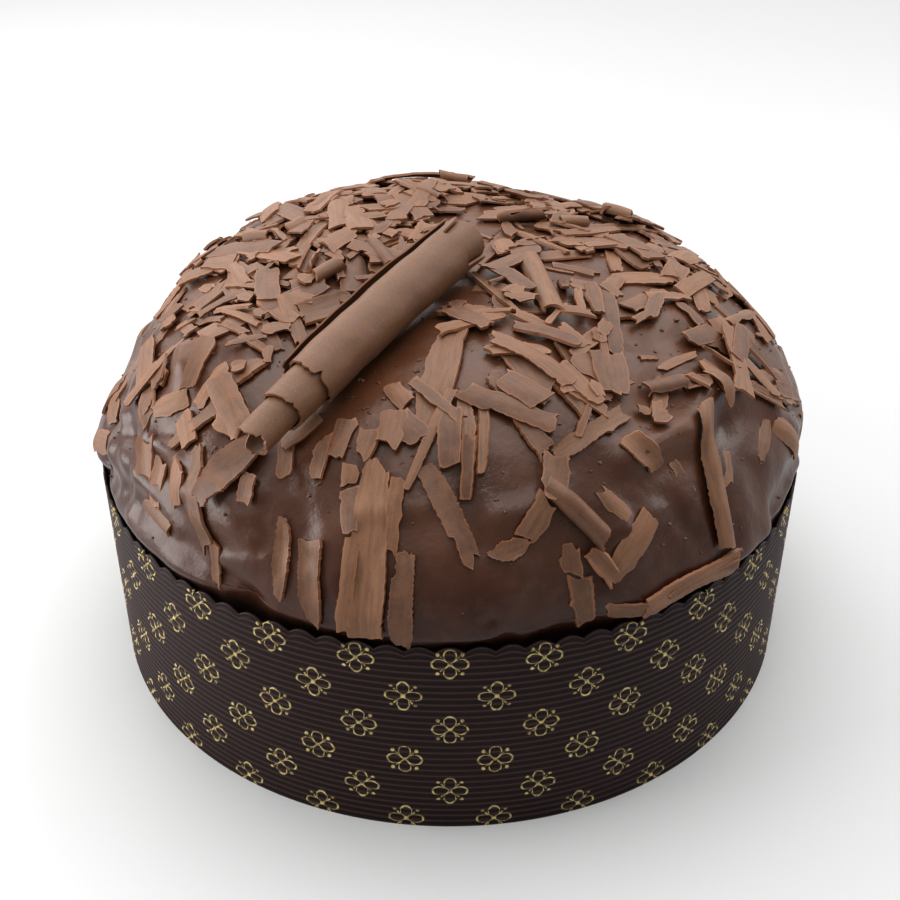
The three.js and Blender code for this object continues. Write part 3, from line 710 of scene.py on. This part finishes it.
def enrobing_chocolate():
    """Dark chocolate poured on and set: a satin skin, a little cloudy where cocoa butter came up. Its colour
    holds painted light:
    darker low down as painted shade, lighter towards the crown as painted sheen, and near black just above
    the case's rim as painted shadow."""
    material, shader, node = new_material("poured dark chocolate")
    place = node("ShaderNodeTexCoord").outputs["Object"]
    level = node("ShaderNodeSeparateXYZ", place).outputs["Z"]
    clouds = node("ShaderNodeTexNoise", place, Scale=every(26), Detail=3.0)
    spots = node("ShaderNodeTexNoise", place, Scale=every(5), Detail=4.0, Roughness=0.6)
    blend = node("ShaderNodeMapRange", clouds, 0.35, 0.68)
    # Painted light: the low browns are painted shade on the lower sides, and the high browns are painted
    # sheen on the crown, blended by level.
    low = node("ShaderNodeMix", blend, linear("#31170B"), linear("#412313"), data_type="RGBA")
    high = node("ShaderNodeMix", blend, linear("#472A1A"), linear("#573723"), data_type="RGBA")
    painted_light_up_the_dome = node("ShaderNodeMapRange", level, 78 * MM, 118 * MM)
    colour = node("ShaderNodeMix", painted_light_up_the_dome, low, high, data_type="RGBA")
    speckle = node("ShaderNodeMapRange", spots, 0.5, 0.8, 0.0, 0.3)
    colour = node("ShaderNodeMix", speckle, colour, linear("#5C3F31"), data_type="RGBA")
    # Painted shadow: the coating turns near black just above the case's rim, where shade falls in the gap
    # between coating and paper.
    clear_of_painted_gap_shadow = node("ShaderNodeMapRange", level, (RIM_LEVEL + 0.5) * MM, (RIM_LEVEL + 4) * MM)
    colour = node("ShaderNodeMix", clear_of_painted_gap_shadow, linear("#150B07"), colour, data_type="RGBA")
    rough = node("ShaderNodeMapRange", clouds, 0.3, 0.7, 0.26, 0.42)
    fine = node("ShaderNodeTexNoise", place, Scale=every(1.1))
    skin = node("ShaderNodeBump", Strength=0.12, Distance=0.12 * MM, Height=fine)
    bumps = node("ShaderNodeBump", Strength=0.4, Distance=0.8 * MM, Height=spots, Normal=skin)
    feed(shader, Base_Color=colour, Roughness=rough, IOR=1.48, Specular_IOR_Level=0.38, Normal=bumps)
    return material


def scraped_chocolate(name, face, pale, edge, streaks=1.0, dust=0.5):
    """Chocolate scraped from a block: matt and fine-grained, with faint streaks along the cut, a tone of
    its own for each piece, and rougher, warmer broken edges."""
    material, shader, node = new_material(name)
    place = node("ShaderNodeUVMap", uv_map="along")
    tone = node("ShaderNodeAttribute", attribute_name="tone").outputs["Fac"]
    rim = node("ShaderNodeAttribute", attribute_name="rim").outputs["Fac"]
    drawn_out = node("ShaderNodeMapping", place, Scale=[every(size) for size in (9, 1.1, 1)])
    streak = node("ShaderNodeTexNoise", drawn_out, Scale=1.0, Detail=3.0)
    patch = node("ShaderNodeTexNoise", place, Scale=every(4), Detail=3.0, Roughness=0.55)
    grain = node("ShaderNodeTexNoise", place, Scale=every(0.4), Detail=3.0, Roughness=0.75)
    colour = node("ShaderNodeMix", tone, linear(face), linear(pale), data_type="RGBA")
    layers = (
        # Dark streaks, warm patches, pale dust, dark pits and worn edges
        (node("ShaderNodeMapRange", streak, 0.35, 0.6, 0.4 * streaks, 0.0), "#3F2618"),
        (node("ShaderNodeMapRange", patch, 0.38, 0.7, 0.0, 0.3), edge),
        (node("ShaderNodeMapRange", grain, 0.6, 0.74, 0.0, dust), "#A68463"),
        (node("ShaderNodeMapRange", grain, 0.24, 0.38, 0.4, 0.0), "#3E2416"),
        (node("ShaderNodeMapRange", rim, 0.55, 0.95, 0.0, 0.65), edge),
    )
    for share, shade in layers:
        colour = node("ShaderNodeMix", share, colour, linear(shade), data_type="RGBA")
    rough = node("ShaderNodeMapRange", patch, 0.0, 1.0, 0.42, 0.62)
    cut = node("ShaderNodeBump", Strength=0.25, Distance=0.2 * MM, Height=streak)
    lumpy = node("ShaderNodeBump", Strength=0.4, Distance=0.5 * MM, Height=patch, Normal=cut)
    fine = node("ShaderNodeBump", Strength=0.5, Distance=0.12 * MM, Height=grain, Normal=lumpy)
    feed(shader, Base_Color=colour, Roughness=rough, IOR=1.46, Normal=fine)
    return material


def drawn_line(node, away, half_width, soft):
    """1 where the distance in mm is within the half width of 0 on either side, falling softly to 0."""
    distance = node("ShaderNodeMath", away, operation="ABSOLUTE")
    return node("ShaderNodeMapRange", distance, half_width - soft, half_width + soft, 1.0, 0.0)


def gold_flowers(node, x, y, z):
    """1 on the printed flowers: four petals in outline, with a heart, and a spoke and a dot between each
    two, in rows that are half a flower apart."""
    toward_front = node("ShaderNodeMath", y, -1.0, operation="MULTIPLY")
    angle = node("ShaderNodeMath", x, toward_front, operation="ARCTAN2")
    flowers = node("ShaderNodeMath", angle, FLOWERS_ROUND / math.tau, operation="MULTIPLY")
    rows = node("ShaderNodeMath", z, 1 / (FLOWER_ROW * MM), 0.28, operation="MULTIPLY_ADD")
    row = node("ShaderNodeMath", rows, operation="FLOOR")
    shifted = node("ShaderNodeMath", row, 0.5, flowers, operation="MULTIPLY_ADD")
    cell = node("ShaderNodeVectorMath", node("ShaderNodeCombineXYZ", shifted, rows), operation="FRACTION")
    centred = node("ShaderNodeVectorMath", cell, (0.5, 0.5, 0.0), operation="SUBTRACT")
    flower_pitch = math.tau * CASE_RADIUS / FLOWERS_ROUND
    spot = node("ShaderNodeVectorMath", centred, (flower_pitch, FLOWER_ROW, 0.0), operation="MULTIPLY")

    radius = node("ShaderNodeVectorMath", spot, operation="LENGTH")
    across, up, _ = node("ShaderNodeSeparateXYZ", spot).outputs
    bearing = node("ShaderNodeMath", up, across, operation="ARCTAN2")
    twice = node("ShaderNodeMath", bearing, 2.0, operation="MULTIPLY")
    wave = node("ShaderNodeMath", twice, operation="COSINE")
    lobes = node("ShaderNodeMath", wave, operation="ABSOLUTE")
    rounded = node("ShaderNodeMath", lobes, PETAL_ROUNDNESS, operation="POWER")
    past_petal = node("ShaderNodeMath", rounded, -PETAL_REACH, radius, operation="MULTIPLY_ADD")
    petals = drawn_line(node, past_petal, PETAL_LINE, 0.14)
    off_heart = node("ShaderNodeMapRange", radius, 0.9, 1.3)
    petals = node("ShaderNodeMath", petals, off_heart, operation="MULTIPLY")
    heart = drawn_line(node, radius, 0.6, 0.15)

    # One quarter stands for all four, with its spoke on the diagonal
    folded = node("ShaderNodeVectorMath", spot, operation="ABSOLUTE")
    slope = math.sqrt(0.5)
    along = node("ShaderNodeVectorMath", folded, (slope, slope, 0.0), operation="DOT_PRODUCT")
    aside = node("ShaderNodeVectorMath", folded, (slope, -slope, 0.0), operation="DOT_PRODUCT")
    from_middle = node("ShaderNodeMath", along, 2.0, operation="SUBTRACT")
    thin, short = drawn_line(node, aside, 0.17, 0.12), drawn_line(node, from_middle, 1.5, 0.1)
    spoke = node("ShaderNodeMath", thin, short, operation="MULTIPLY")
    dot_place = (DOT_REACH * slope, DOT_REACH * slope, 0.0)
    dots = drawn_line(node, node("ShaderNodeVectorMath", folded, dot_place, operation="DISTANCE"), 0.5, 0.15)

    print_mask = petals
    for mark in (spoke, dots, heart):
        print_mask = node("ShaderNodeMath", print_mask, mark, operation="MAXIMUM")
    return print_mask


def ribbed_paper():
    """Dark dyed baking paper pressed into fine ribs: matt fibre with a faint waxy shine and a painted
    highlight on each crest, printed with small gold flowers in a brick pattern, worn in patches, and dimmed
    where the ribs dip as painted shade."""
    material, shader, node = new_material("dark ribbed baking paper")
    place = node("ShaderNodeTexCoord").outputs["Object"]
    x, y, z = node("ShaderNodeSeparateXYZ", place).outputs
    level_spot = node("ShaderNodeVectorMath", place, (1.0, 1.0, 0.0), operation="MULTIPLY")
    from_axis = node("ShaderNodeVectorMath", level_spot, operation="LENGTH")
    wear = node("ShaderNodeTexNoise", place, Scale=every(0.9), Detail=3.0)
    worn = node("ShaderNodeMapRange", wear, 0.34, 0.5, 0.25, 1.0)
    # Painted shade: the print fades to half strength down in the rib valleys, where the ribs shade it.
    crest = node("ShaderNodeMapRange", from_axis, (CASE_RADIUS - RIB_DEPTH) * MM, CASE_RADIUS * MM, 0.5, 1.0)
    outside = node("ShaderNodeMapRange", from_axis, (CASE_RADIUS - 1.2) * MM, (CASE_RADIUS - 0.9) * MM)
    print_mask = gold_flowers(node, x, y, z)
    for share in (worn, crest, outside):
        print_mask = node("ShaderNodeMath", print_mask, share, operation="MULTIPLY")
    long_fibre = node("ShaderNodeMapping", place, Scale=[every(size) for size in (1.6, 1.6, 0.5)])
    fibre = node("ShaderNodeTexNoise", long_fibre, Scale=1.0, Detail=4.0, Roughness=0.7)
    stain = node("ShaderNodeTexNoise", place, Scale=every(38))
    colour = node("ShaderNodeMix", stain, linear("#110605"), linear("#1C0B0A"), data_type="RGBA")
    pale = node("ShaderNodeMapRange", fibre, 0.55, 0.8, 0.0, 0.4)
    # Painted highlight: the outermost band of each rib crest is lightened, standing in for light caught on
    # the crests.
    painted_crest_highlight = node("ShaderNodeMapRange", from_axis, (CASE_RADIUS - 0.12) * MM, CASE_RADIUS * MM, 0.0, 0.7)
    layers = ((pale, "#2C1A18"), (painted_crest_highlight, "#4E3532"), (print_mask, "#C6B57F"))
    for share, shade in layers:
        colour = node("ShaderNodeMix", share, colour, linear(shade), data_type="RGBA")
    rough = node("ShaderNodeMapRange", fibre, 0.0, 1.0, 0.42, 0.6)
    shine = node("ShaderNodeMath", print_mask, 0.25, operation="MULTIPLY")
    bump = node("ShaderNodeBump", Strength=0.3, Distance=0.12 * MM, Height=fibre)
    feed(shader, Base_Color=colour, Roughness=rough, Metallic=shine, Normal=bump)
    feed(shader, IOR=1.45, Specular_IOR_Level=0.24)
    return material


def seamless_card():
    """The pale card that the cake stands on: matt and even."""
    material, shader, node = new_material("pale card floor")
    faint = node("ShaderNodeTexNoise", node("ShaderNodeTexCoord").outputs["Object"], Scale=every(400))
    colour = node("ShaderNodeMix", faint, linear("#A9A9A9"), linear("#ACACAC"), data_type="RGBA")
    feed(shader, Base_Color=colour, Roughness=0.9)
    return material


# Pieces

def coated_cake(material):
    """The cake and its coating: the dome with its swells and folds, closed down inside the case."""
    sectors, rings, foot_rings = 440, 190, 6
    angle = np.arange(sectors) / sectors * 2 * np.pi
    along = DOME_LENGTH * (np.arange(1, rings + 1) / rings)
    plan = along[:, None, None] * np.stack([np.sin(angle), -np.cos(angle)], axis=-1)
    dome = above_dome(plan, 0).reshape(-1, 3)
    foot = []
    for step in range(foot_rings):
        tilt = math.pi / 2 * (1 - step / (foot_rings - 1))
        radius = CAKE_RADIUS - FOOT_ROUNDING * (1 - math.sin(tilt))
        level = np.full(sectors, CAKE_FOOT + FOOT_ROUNDING * (1 - math.cos(tilt)))
        foot.append(np.stack([radius * np.sin(angle), -radius * np.cos(angle), level], axis=-1))
    crown = above_dome(np.zeros((1, 2)), 0)
    points = np.concatenate([crown, dome, *foot, [[0, 0, CAKE_FOOT]]])
    at = 1 + np.arange((rings + foot_rings) * sectors).reshape(rings + foot_rings, sectors)
    ahead = np.roll(at, -1, axis=1)
    quads = np.stack([at[:-1], at[1:], ahead[1:], ahead[:-1]], axis=-1).reshape(-1, 4)
    top = np.stack([np.zeros(sectors, int), at[0], ahead[0]], axis=-1)
    bottom = np.stack([np.full(sectors, len(points) - 1), ahead[-1], at[-1]], axis=-1)
    return new_piece("coated_cake", points, quads, material, triangles=np.concatenate([top, bottom]))


def rolled_curl(material):
    """The great curl, with the long edge of its sheet lifted a little, ragged steps where its turns end,
    and the spiral in its mouth."""
    draw = np.random.default_rng(5)
    per_turn, columns = 48, 170
    rows = round(per_turn * CURL_TURNS)
    far, middle, near = (np.array(point, float) for point in CURL_LINE)
    i, j = np.meshgrid(np.arange(rows + 1), np.arange(columns + 1) / columns, indexing="ij")
    turns = i / per_turn
    whole = np.minimum(turns.astype(int), len(CURL_TURN_ENDS) - 1)
    ends = np.array(CURL_TURN_ENDS + CURL_TURN_ENDS[-1:])
    ease = np.clip((turns - whole - 0.86) / 0.14, 0, 1)
    ease = ease * ease * (3 - 2 * ease)
    length = float(np.linalg.norm(near - far))

    def broken(size, knots):
        turn_edges = [broken_line(draw, per_turn, size / length, knots) for _ in range(5)]
        return np.concatenate(turn_edges)[:rows + 1, None]

    reach = ends[whole] + (ends[whole + 1] - ends[whole]) * ease + broken(0.7, 9)
    broken_out = np.clip((turns - CURL_BREAK[0]) / 0.03, 0, 1) * np.clip((CURL_BREAK[1] - turns) / 0.03, 0, 1)
    begin = broken(0.45, 7) + CURL_BREAK[2] * broken_out
    part = begin + (reach - begin) * j
    lifted = np.clip((turns - CURL_TURNS + 0.12) / 0.12, 0, 1)
    seam = 0.9 * lifted ** 2 * np.clip(1.2 - np.abs(part - 0.42) * 2.4, 0, 1)
    aside = np.cross(near - far, [0, 0, 1])
    aside /= np.linalg.norm(aside)
    p = part[..., None]
    centre = (1 - p) ** 2 * far + 2 * p * (1 - p) * middle + p * p * near
    tangent = 2 * (1 - p) * (middle - far) + 2 * p * (near - middle)
    up = np.cross(np.broadcast_to(aside, tangent.shape), tangent)
    up /= np.linalg.norm(up, axis=-1, keepdims=True)
    angle = turns * 2 * np.pi
    dents = 0.1 * np.sin(part * 21 + angle) + 0.07 * np.sin(part * 47 + 2 * angle)
    thick = CURL_THICK * (0.72 - 0.3 * lifted)
    faces = []
    for side in (1, -1):
        radius = CURL_CORE + CURL_PITCH * turns + side * thick / 2 + seam + dents
        across, rise = (radius * np.cos(angle))[..., None], (radius * np.sin(angle))[..., None]
        faces.append(centre + aside * across + up * rise)
    rim = ((i == 0) | (i == rows) | (j == 0) | (j == 1)).astype(float).ravel()
    round_way = ((CURL_CORE + CURL_PITCH * turns) * angle).ravel()
    places = np.stack([round_way, part.ravel() * length], axis=-1)
    points = np.concatenate([face.reshape(-1, 3) for face in faces])
    made = new_piece("rolled_curl", points, sheet_faces(rows, columns), material, 38)
    give_values(made, "rim", np.tile(rim, 2))
    give_values(made, "tone", np.full(len(points), 0.5))
    give_map(made, np.tile(places, (2, 1)))
    return made


def geometry_tree(name, sizes):
    """A geometry node tree with a named input for each size, with a maker of its nodes and its inputs."""
    tree = bpy.data.node_groups.new(name, "GeometryNodeTree")
    tree.interface.new_socket("Geometry", in_out="INPUT", socket_type="NodeSocketGeometry")
    for size, value in sizes.items():
        kind = "NodeSocketInt" if isinstance(value, int) else "NodeSocketFloat"
        tree.interface.new_socket(size, in_out="INPUT", socket_type=kind).default_value = value
    tree.interface.new_socket("Geometry", in_out="OUTPUT", socket_type="NodeSocketGeometry")
    return tree, partial(add_node, tree), tree.nodes.new("NodeGroupInput").outputs


def grown_piece(name, mesh, tree, sizes, shape, material):
    """Ends a geometry node tree with its shape in a material, runs it on a mesh and keeps the result."""
    realised = add_node(tree, "GeometryNodeRealizeInstances", shape)
    painted = add_node(tree, "GeometryNodeSetMaterial", realised, Material=material)
    add_node(tree, "NodeGroupOutput", painted)
    host = in_scene(f"{name}_host", mesh)
    modifier = host.modifiers.new(tree.name, "NODES")
    modifier.node_group = tree
    for item in tree.interface.items_tree:
        if item.in_out == "INPUT" and item.name in sizes:
            modifier[item.identifier] = sizes[item.name]
    made = bpy.data.meshes.new_from_object(host.evaluated_get(bpy.context.evaluated_depsgraph_get()))
    host.modifiers.remove(modifier)
    bpy.data.objects.remove(host)
    made.name = name
    return in_scene(name, made)


def case_section():
    """Half the case's section as a line, from its middle out, up the wall, and back down inside."""
    inner = -PAPER_THICK - 0.5
    wall_steps = RIBS * 5
    section = [(-CASE_RADIUS, 0), (-1.5, 0)]
    section += [(0, CASE_HEIGHT * step / wall_steps) for step in range(wall_steps + 1)]
    section += [(-PAPER_THICK, CASE_HEIGHT), (inner, CASE_HEIGHT - 6), (inner, 20), (inner, PAPER_THICK)]
    section += [(-CASE_RADIUS, PAPER_THICK)]
    mesh = bpy.data.meshes.new("case_section")
    edges = [(k, k + 1) for k in range(len(section) - 1)]
    mesh.from_pydata([(out_by * MM, -level * MM, 0) for out_by, level in section], edges, [])
    return mesh


def ribbed_case(material):
    """The paper case: half its section swept round the axis, with a rib for each wave of its wall, and
    its rim cut in low scallops."""
    sizes = {"Radius": CASE_RADIUS * MM, "Height": CASE_HEIGHT * MM, "Rib depth": RIB_DEPTH * MM,
             "Ribs": RIBS, "Scallops": SCALLOPS, "Scallop depth": SCALLOP_DEPTH * MM}
    tree, node, given = geometry_tree("ribbed case", sizes)
    across, down, _ = node("ShaderNodeSeparateXYZ", node("GeometryNodeInputPosition")).outputs
    height_share = node("ShaderNodeMath", down, given["Height"], operation="DIVIDE")
    turns = node("ShaderNodeMath", height_share, given["Ribs"], operation="MULTIPLY")
    rib_turn = node("ShaderNodeMath", turns, math.tau, operation="MULTIPLY")
    wave = node("ShaderNodeMath", rib_turn, operation="COSINE")
    half_depth = node("ShaderNodeMath", given["Rib depth"], 0.5, operation="MULTIPLY")
    below_crest = node("ShaderNodeMath", wave, 1.0, operation="SUBTRACT")
    dip = node("ShaderNodeMath", below_crest, half_depth, operation="MULTIPLY")
    on_wall = node("ShaderNodeMath", across, -0.01 * MM, operation="GREATER_THAN")
    inward = node("ShaderNodeCombineXYZ", node("ShaderNodeMath", dip, on_wall, operation="MULTIPLY"))
    ribbed = node("GeometryNodeSetPosition", given["Geometry"], Offset=inward)
    profile = node("GeometryNodeMeshToCurve", ribbed)
    circle = node("GeometryNodeCurvePrimitiveCircle", Resolution=SCALLOPS * 6, Radius=given["Radius"])
    upright = node("GeometryNodeSetCurveNormal", circle, mode="Z_UP")
    swept = node("GeometryNodeCurveToMesh", upright, Profile_Curve=profile)
    closed = node("GeometryNodeMergeByDistance", swept, Distance=0.002 * MM)

    x, y, z = node("ShaderNodeSeparateXYZ", node("GeometryNodeInputPosition")).outputs
    angle = node("ShaderNodeMath", y, x, operation="ARCTAN2")
    half_waves = node("ShaderNodeMath", given["Scallops"], 0.5, operation="MULTIPLY")
    scallop_turn = node("ShaderNodeMath", angle, half_waves, operation="MULTIPLY")
    scallop_wave = node("ShaderNodeMath", scallop_turn, operation="COSINE")
    arch = node("ShaderNodeMath", scallop_wave, operation="ABSOLUTE")
    below_arch = node("ShaderNodeMath", arch, 1.0, operation="SUBTRACT")
    low = node("ShaderNodeMath", below_arch, given["Scallop depth"], operation="MULTIPLY")
    reach_down = node("ShaderNodeMath", given["Scallop depth"], 3.0, operation="MULTIPLY")
    below_rim = node("ShaderNodeMath", given["Height"], z, operation="SUBTRACT")
    faded = node("ShaderNodeMath", below_rim, reach_down, operation="DIVIDE")
    share = node("ShaderNodeMapRange", faded, 0.0, 1.0, 1.0, 0.0)
    lowered = node("ShaderNodeCombineXYZ", Z=node("ShaderNodeMath", low, share, operation="MULTIPLY"))
    scalloped = node("GeometryNodeSetPosition", closed, Offset=lowered)
    smooth = node("GeometryNodeSetShadeSmooth", scalloped)
    return grown_piece("ribbed_case", case_section(), tree, sizes, smooth, material)


def large_shavings(material, heap):
    """The large shavings, each its own piece, shaped and laid like its solid."""
    pieces = []
    for number, spec in enumerate(SHAVINGS, 1):
        draw = np.random.default_rng(300 + number)
        rolled = spec[3] > ROLLED_FROM
        rows, columns = 44, 30 if rolled else 14
        faces = sheet_faces(rows, columns)
        points, places, rim, plan, height = wrapped_shaving(spec, draw, rows, columns)
        heap.raise_to(plan, height)
        parts = Parts()
        parts.add(points, faces[:, ::-1] if rolled else faces, places, rim, draw.random())
        pieces.append(parts.piece(f"shaved_curl_{number:02d}", material))
    return pieces


def lay_sheet(parts, heap, draw, middle, heading, size, kind, overturned):
    """Adds one small shaving to its parts, laid on the heap, deeper where it lies past the shoulder."""
    long, wide, turn, ends = size
    rows = max(4, round(long / 0.95))
    columns = max(3, round(wide / (0.7 if kind == "sticks" else 1.1)))
    arch = draw.normal() * 0.012 * long
    thick = 0.55 + 0.35 * draw.random()
    ragged = 0.42 if wide > 2.5 else 0.22
    local, places, rim = scraped_sheet(draw, long, wide, turn, ends, thick, rows, columns, ragged, arch=arch)
    faces = sheet_faces(rows, columns)
    if overturned:
        local[:, 2] = np.max(local[:, 2]) - local[:, 2]
        faces = faces[:, ::-1]
    width = float(np.ptp(local[:, 1]))
    past_shoulder = min(max((float(np.linalg.norm(middle)) - SHOULDER) / 10, 0.0), 1.0)
    points = lay_down(heap, middle, heading, long, width, local, 0.25 + 0.9 * past_shoulder)
    parts.add(points, faces, places, rim, draw.random())


def set_flakes(material, heap):
    """The small flakes that are part of the solid of the cake, in the same places."""
    draw = np.random.default_rng(11)
    parts = Parts()
    for middle, heading, long, wide, turn in scatter_flakes():
        size = (long, wide, turn, (0.9, 0.75))
        lay_sheet(parts, heap, draw, middle, heading, size, "strips", draw.random() < 0.6)
    return parts.piece("set_flakes", material)


def small_shavings(material, heap):
    """The smaller shavings that are seen one by one."""
    draw = np.random.default_rng(12)
    parts = Parts()
    for start, end, wide, turn in SMALL_SHAVINGS:
        start, end = on_plan(start), on_plan(end)
        long = float(np.linalg.norm(end - start))
        size = (long, wide, abs(turn), (0.95, 0.8))
        lay_sheet(parts, heap, draw, (start + end) / 2, (end - start) / long, size, "strips", turn < 0)
    return parts.piece("small_shavings", material)


def loose_place(draw, kind, long, wide):
    """A random place and heading for a looser flake, clear of the curl and the case's rim."""
    while True:
        middle = on_plan((draw.random() * 360, LOOSE_REACH * math.sqrt(draw.random())))
        angle = draw.random() * math.pi
        heading = np.array([math.cos(angle), math.sin(angle)])
        under_curl = distance_to_line(middle, *CURL_FOOT) < 9.5 + 0.25 * wide
        tips = middle + 0.5 * long * np.array([heading, -heading])
        over_edge = np.linalg.norm(tips, axis=1).max() > LOOSE_REACH + 1
        if kind == "sticks" and np.linalg.norm(middle) > STICK_REACH:
            continue
        if draw.random() < loose_share(middle) and not under_curl and not over_edge:
            return middle, heading


def loose_flakes(material, heap):
    """Looser flakes of mixed sizes strewn on all the rest, one piece for each kind."""
    draw = np.random.default_rng(LOOSE_SEED)
    batches = {kind: Parts() for kind in LOOSE_KINDS}
    order = np.concatenate([[kind] * facts[0] for kind, facts in LOOSE_KINDS.items()])
    for kind in draw.permutation(order):
        _, lengths, widths, turns, ends = LOOSE_KINDS[kind]
        long = lengths[0] + (lengths[1] - lengths[0]) * draw.random() ** 1.5
        wide, turn = (low + (high - low) * draw.random() for low, high in (widths, turns))
        middle, heading = loose_place(draw, kind, long, wide)
        size = (long, wide, turn, ends)
        lay_sheet(batches[kind], heap, draw, middle, heading, size, kind, draw.random() < 0.7)
    return [parts.piece(f"loose_{kind}", material) for kind, parts in batches.items()]


def crumbs(material, ground):
    """Crumbs of chocolate scattered over the coating, by a fixed seed."""
    sizes = {"Seed": 9, "Density": 26000.0, "Smallest": 0.5 * MM, "Largest": 1.5 * MM}
    tree, node, given = geometry_tree("crumbs", sizes)
    seed = given["Seed"]
    upward = node("ShaderNodeSeparateXYZ", node("GeometryNodeInputNormal")).outputs["Z"]
    density = node("ShaderNodeMapRange", upward, 0.2, 0.9, To_Max=given["Density"])
    strewn = node("GeometryNodeDistributePointsOnFaces", given["Geometry"], Density=density, Seed=seed)
    ball = node("GeometryNodeMeshIcoSphere", Radius=0.5, Subdivisions=2)
    lumps = node("ShaderNodeTexNoise", Scale=1.6).outputs["Color"]
    centred = node("ShaderNodeVectorMath", lumps, (0.5, 0.5, 0.5), operation="SUBTRACT")
    chip = node("GeometryNodeSetPosition", ball, Offset=centred)
    least, most = (0.5, 0.5, 0.35), (1.6, 1.0, 0.7)
    shape = node("FunctionNodeRandomValue", least, most, Seed=seed, data_type="FLOAT_VECTOR")
    size = node("FunctionNodeRandomValue", given["Smallest"], given["Largest"], Seed=seed)
    scale = node("ShaderNodeVectorMath", shape, size, operation="SCALE")
    least, most = (-0.5, -0.5, 0.0), (0.5, 0.5, math.tau)
    turned = node("FunctionNodeRandomValue", least, most, Seed=seed, data_type="FLOAT_VECTOR")
    laid = node("GeometryNodeInstanceOnPoints", strewn, Instance=chip, Rotation=turned, Scale=scale)
    return grown_piece("crumbs", ground, tree, sizes, laid, material)


# Floor, light and camera

def stage_floor(material):
    half = FLOOR_SIDE / 2
    corners = np.array([(-half, -half, 0), (half, -half, 0), (half, half, 0), (-half, half, 0)])
    return new_piece("floor", corners, np.array([[0, 1, 2, 3]]), material)


def aimed(place, aim):
    """The turn that points a light or a camera from its place to its aim."""
    return (Vector(aim) - Vector(place)).to_track_quat("-Z", "Y").to_euler()


def studio_light():
    """A white studio: a surround that is brightest above and behind and dim on the camera's side, one
    broad soft light from above, and boxes and cards for the sheen on the coating."""
    world = bpy.data.worlds.new("white studio")
    bpy.context.scene.world = world
    world.use_nodes = True
    node = partial(add_node, world.node_tree)
    facing = node("ShaderNodeTexCoord").outputs["Generated"]
    backward = node("ShaderNodeVectorMath", facing, (-0.06, 0.7, 0.7), operation="DOT_PRODUCT")
    strength = node("ShaderNodeMapRange", backward, -0.8, 0.95, 0.32, 2.0)
    feed(world.node_tree.nodes["Background"], Color=linear("#FFFFFF"), Strength=strength)

    silk = bpy.data.lights.new("overhead silk", "SUN")
    silk.energy, silk.angle = 2.3, math.radians(70)
    in_scene(silk.name, silk).rotation_euler = aimed((0.08, 0.24, 1.0), (0, 0, 0))

    # Name, place and aimed level in metres, width, height and power
    boxes = (
        ("back left strip", (-0.5, 0.55, 0.5), 0.1, 0.6, 0.35, 2.5),
        ("right strip", (0.62, 0.12, 0.38), 0.1, 0.5, 0.25, 1.5),
        ("ceiling box", (0.02, 0.3, 0.8), 0.05, 1.1, 0.7, 3.0),
        ("left card", (-0.55, -0.1, 0.2), 0.04, 0.4, 0.3, 4.0),
        ("front overhead", (-0.08, -0.42, 0.85), 0.08, 0.34, 0.12, 1.2),
    )
    for name, place, level, width, height, power in boxes:
        lamp = bpy.data.lights.new(name, "AREA")
        lamp.shape = "RECTANGLE"
        lamp.size, lamp.size_y, lamp.energy = width, height, power
        light = in_scene(name, lamp)
        light.location = place
        light.rotation_euler = aimed(place, (0, 0, level))


def photo_camera():
    """The camera of the photo, looking down at the middle of the cake from the front."""
    tilt = math.radians(CAMERA_ELEVATION)
    aim = Vector((0, 0, CAMERA_AIM * MM))
    place = aim + Vector((0, -math.cos(tilt), math.sin(tilt))) * CAMERA_DISTANCE * MM
    camera = in_scene("camera", bpy.data.cameras.new("camera"))
    camera.data.sensor_width = SENSOR_WIDTH
    camera.data.lens = FOCAL_PIXELS * SENSOR_WIDTH / IMAGE_PIXELS
    camera.data.clip_start, camera.data.clip_end = 0.01, 100
    camera.location = place
    camera.rotation_euler = aimed(place, aim)
    bpy.context.scene.camera = camera


def part_of_cake(piece, slot, *nodes):
    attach(piece, "root")
    if nodes:
        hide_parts(*nodes)


# The whole cake

coating = enrobing_chocolate()
shaving_chocolate = scraped_chocolate("shaved chocolate", "#4F3524", "#73523A", "#82573C")
roll_chocolate = scraped_chocolate("rolled sheet of chocolate", "#573A27", "#60432D", "#744A2C", 0.3, 0.8)

heap = Heap()
cake = coated_cake(coating)
part_of_cake(cake, "chocolate_coating", "panettone")
part_of_cake(ribbed_case(ribbed_paper()), "case_paper", "paper_case")
part_of_cake(rolled_curl(roll_chocolate), "chocolate_roll", "chocolate_curl")
for number, piece in enumerate(large_shavings(shaving_chocolate, heap), 1):
    part_of_cake(piece, "chocolate_shaving", f"shaving_{number:02d}")
part_of_cake(set_flakes(shaving_chocolate, heap), "chocolate_shaving")
part_of_cake(small_shavings(shaving_chocolate, heap), "chocolate_shaving")
for piece in loose_flakes(shaving_chocolate, heap):
    part_of_cake(piece, "chocolate_shaving")
part_of_cake(crumbs(shaving_chocolate, cake.data), "chocolate_shaving")

stage_floor(seamless_card())
studio_light()
photo_camera()
tones = bpy.context.scene.view_settings
tones.view_transform = "Standard"
tones.exposure = -0.32
tones.gamma = 0.85
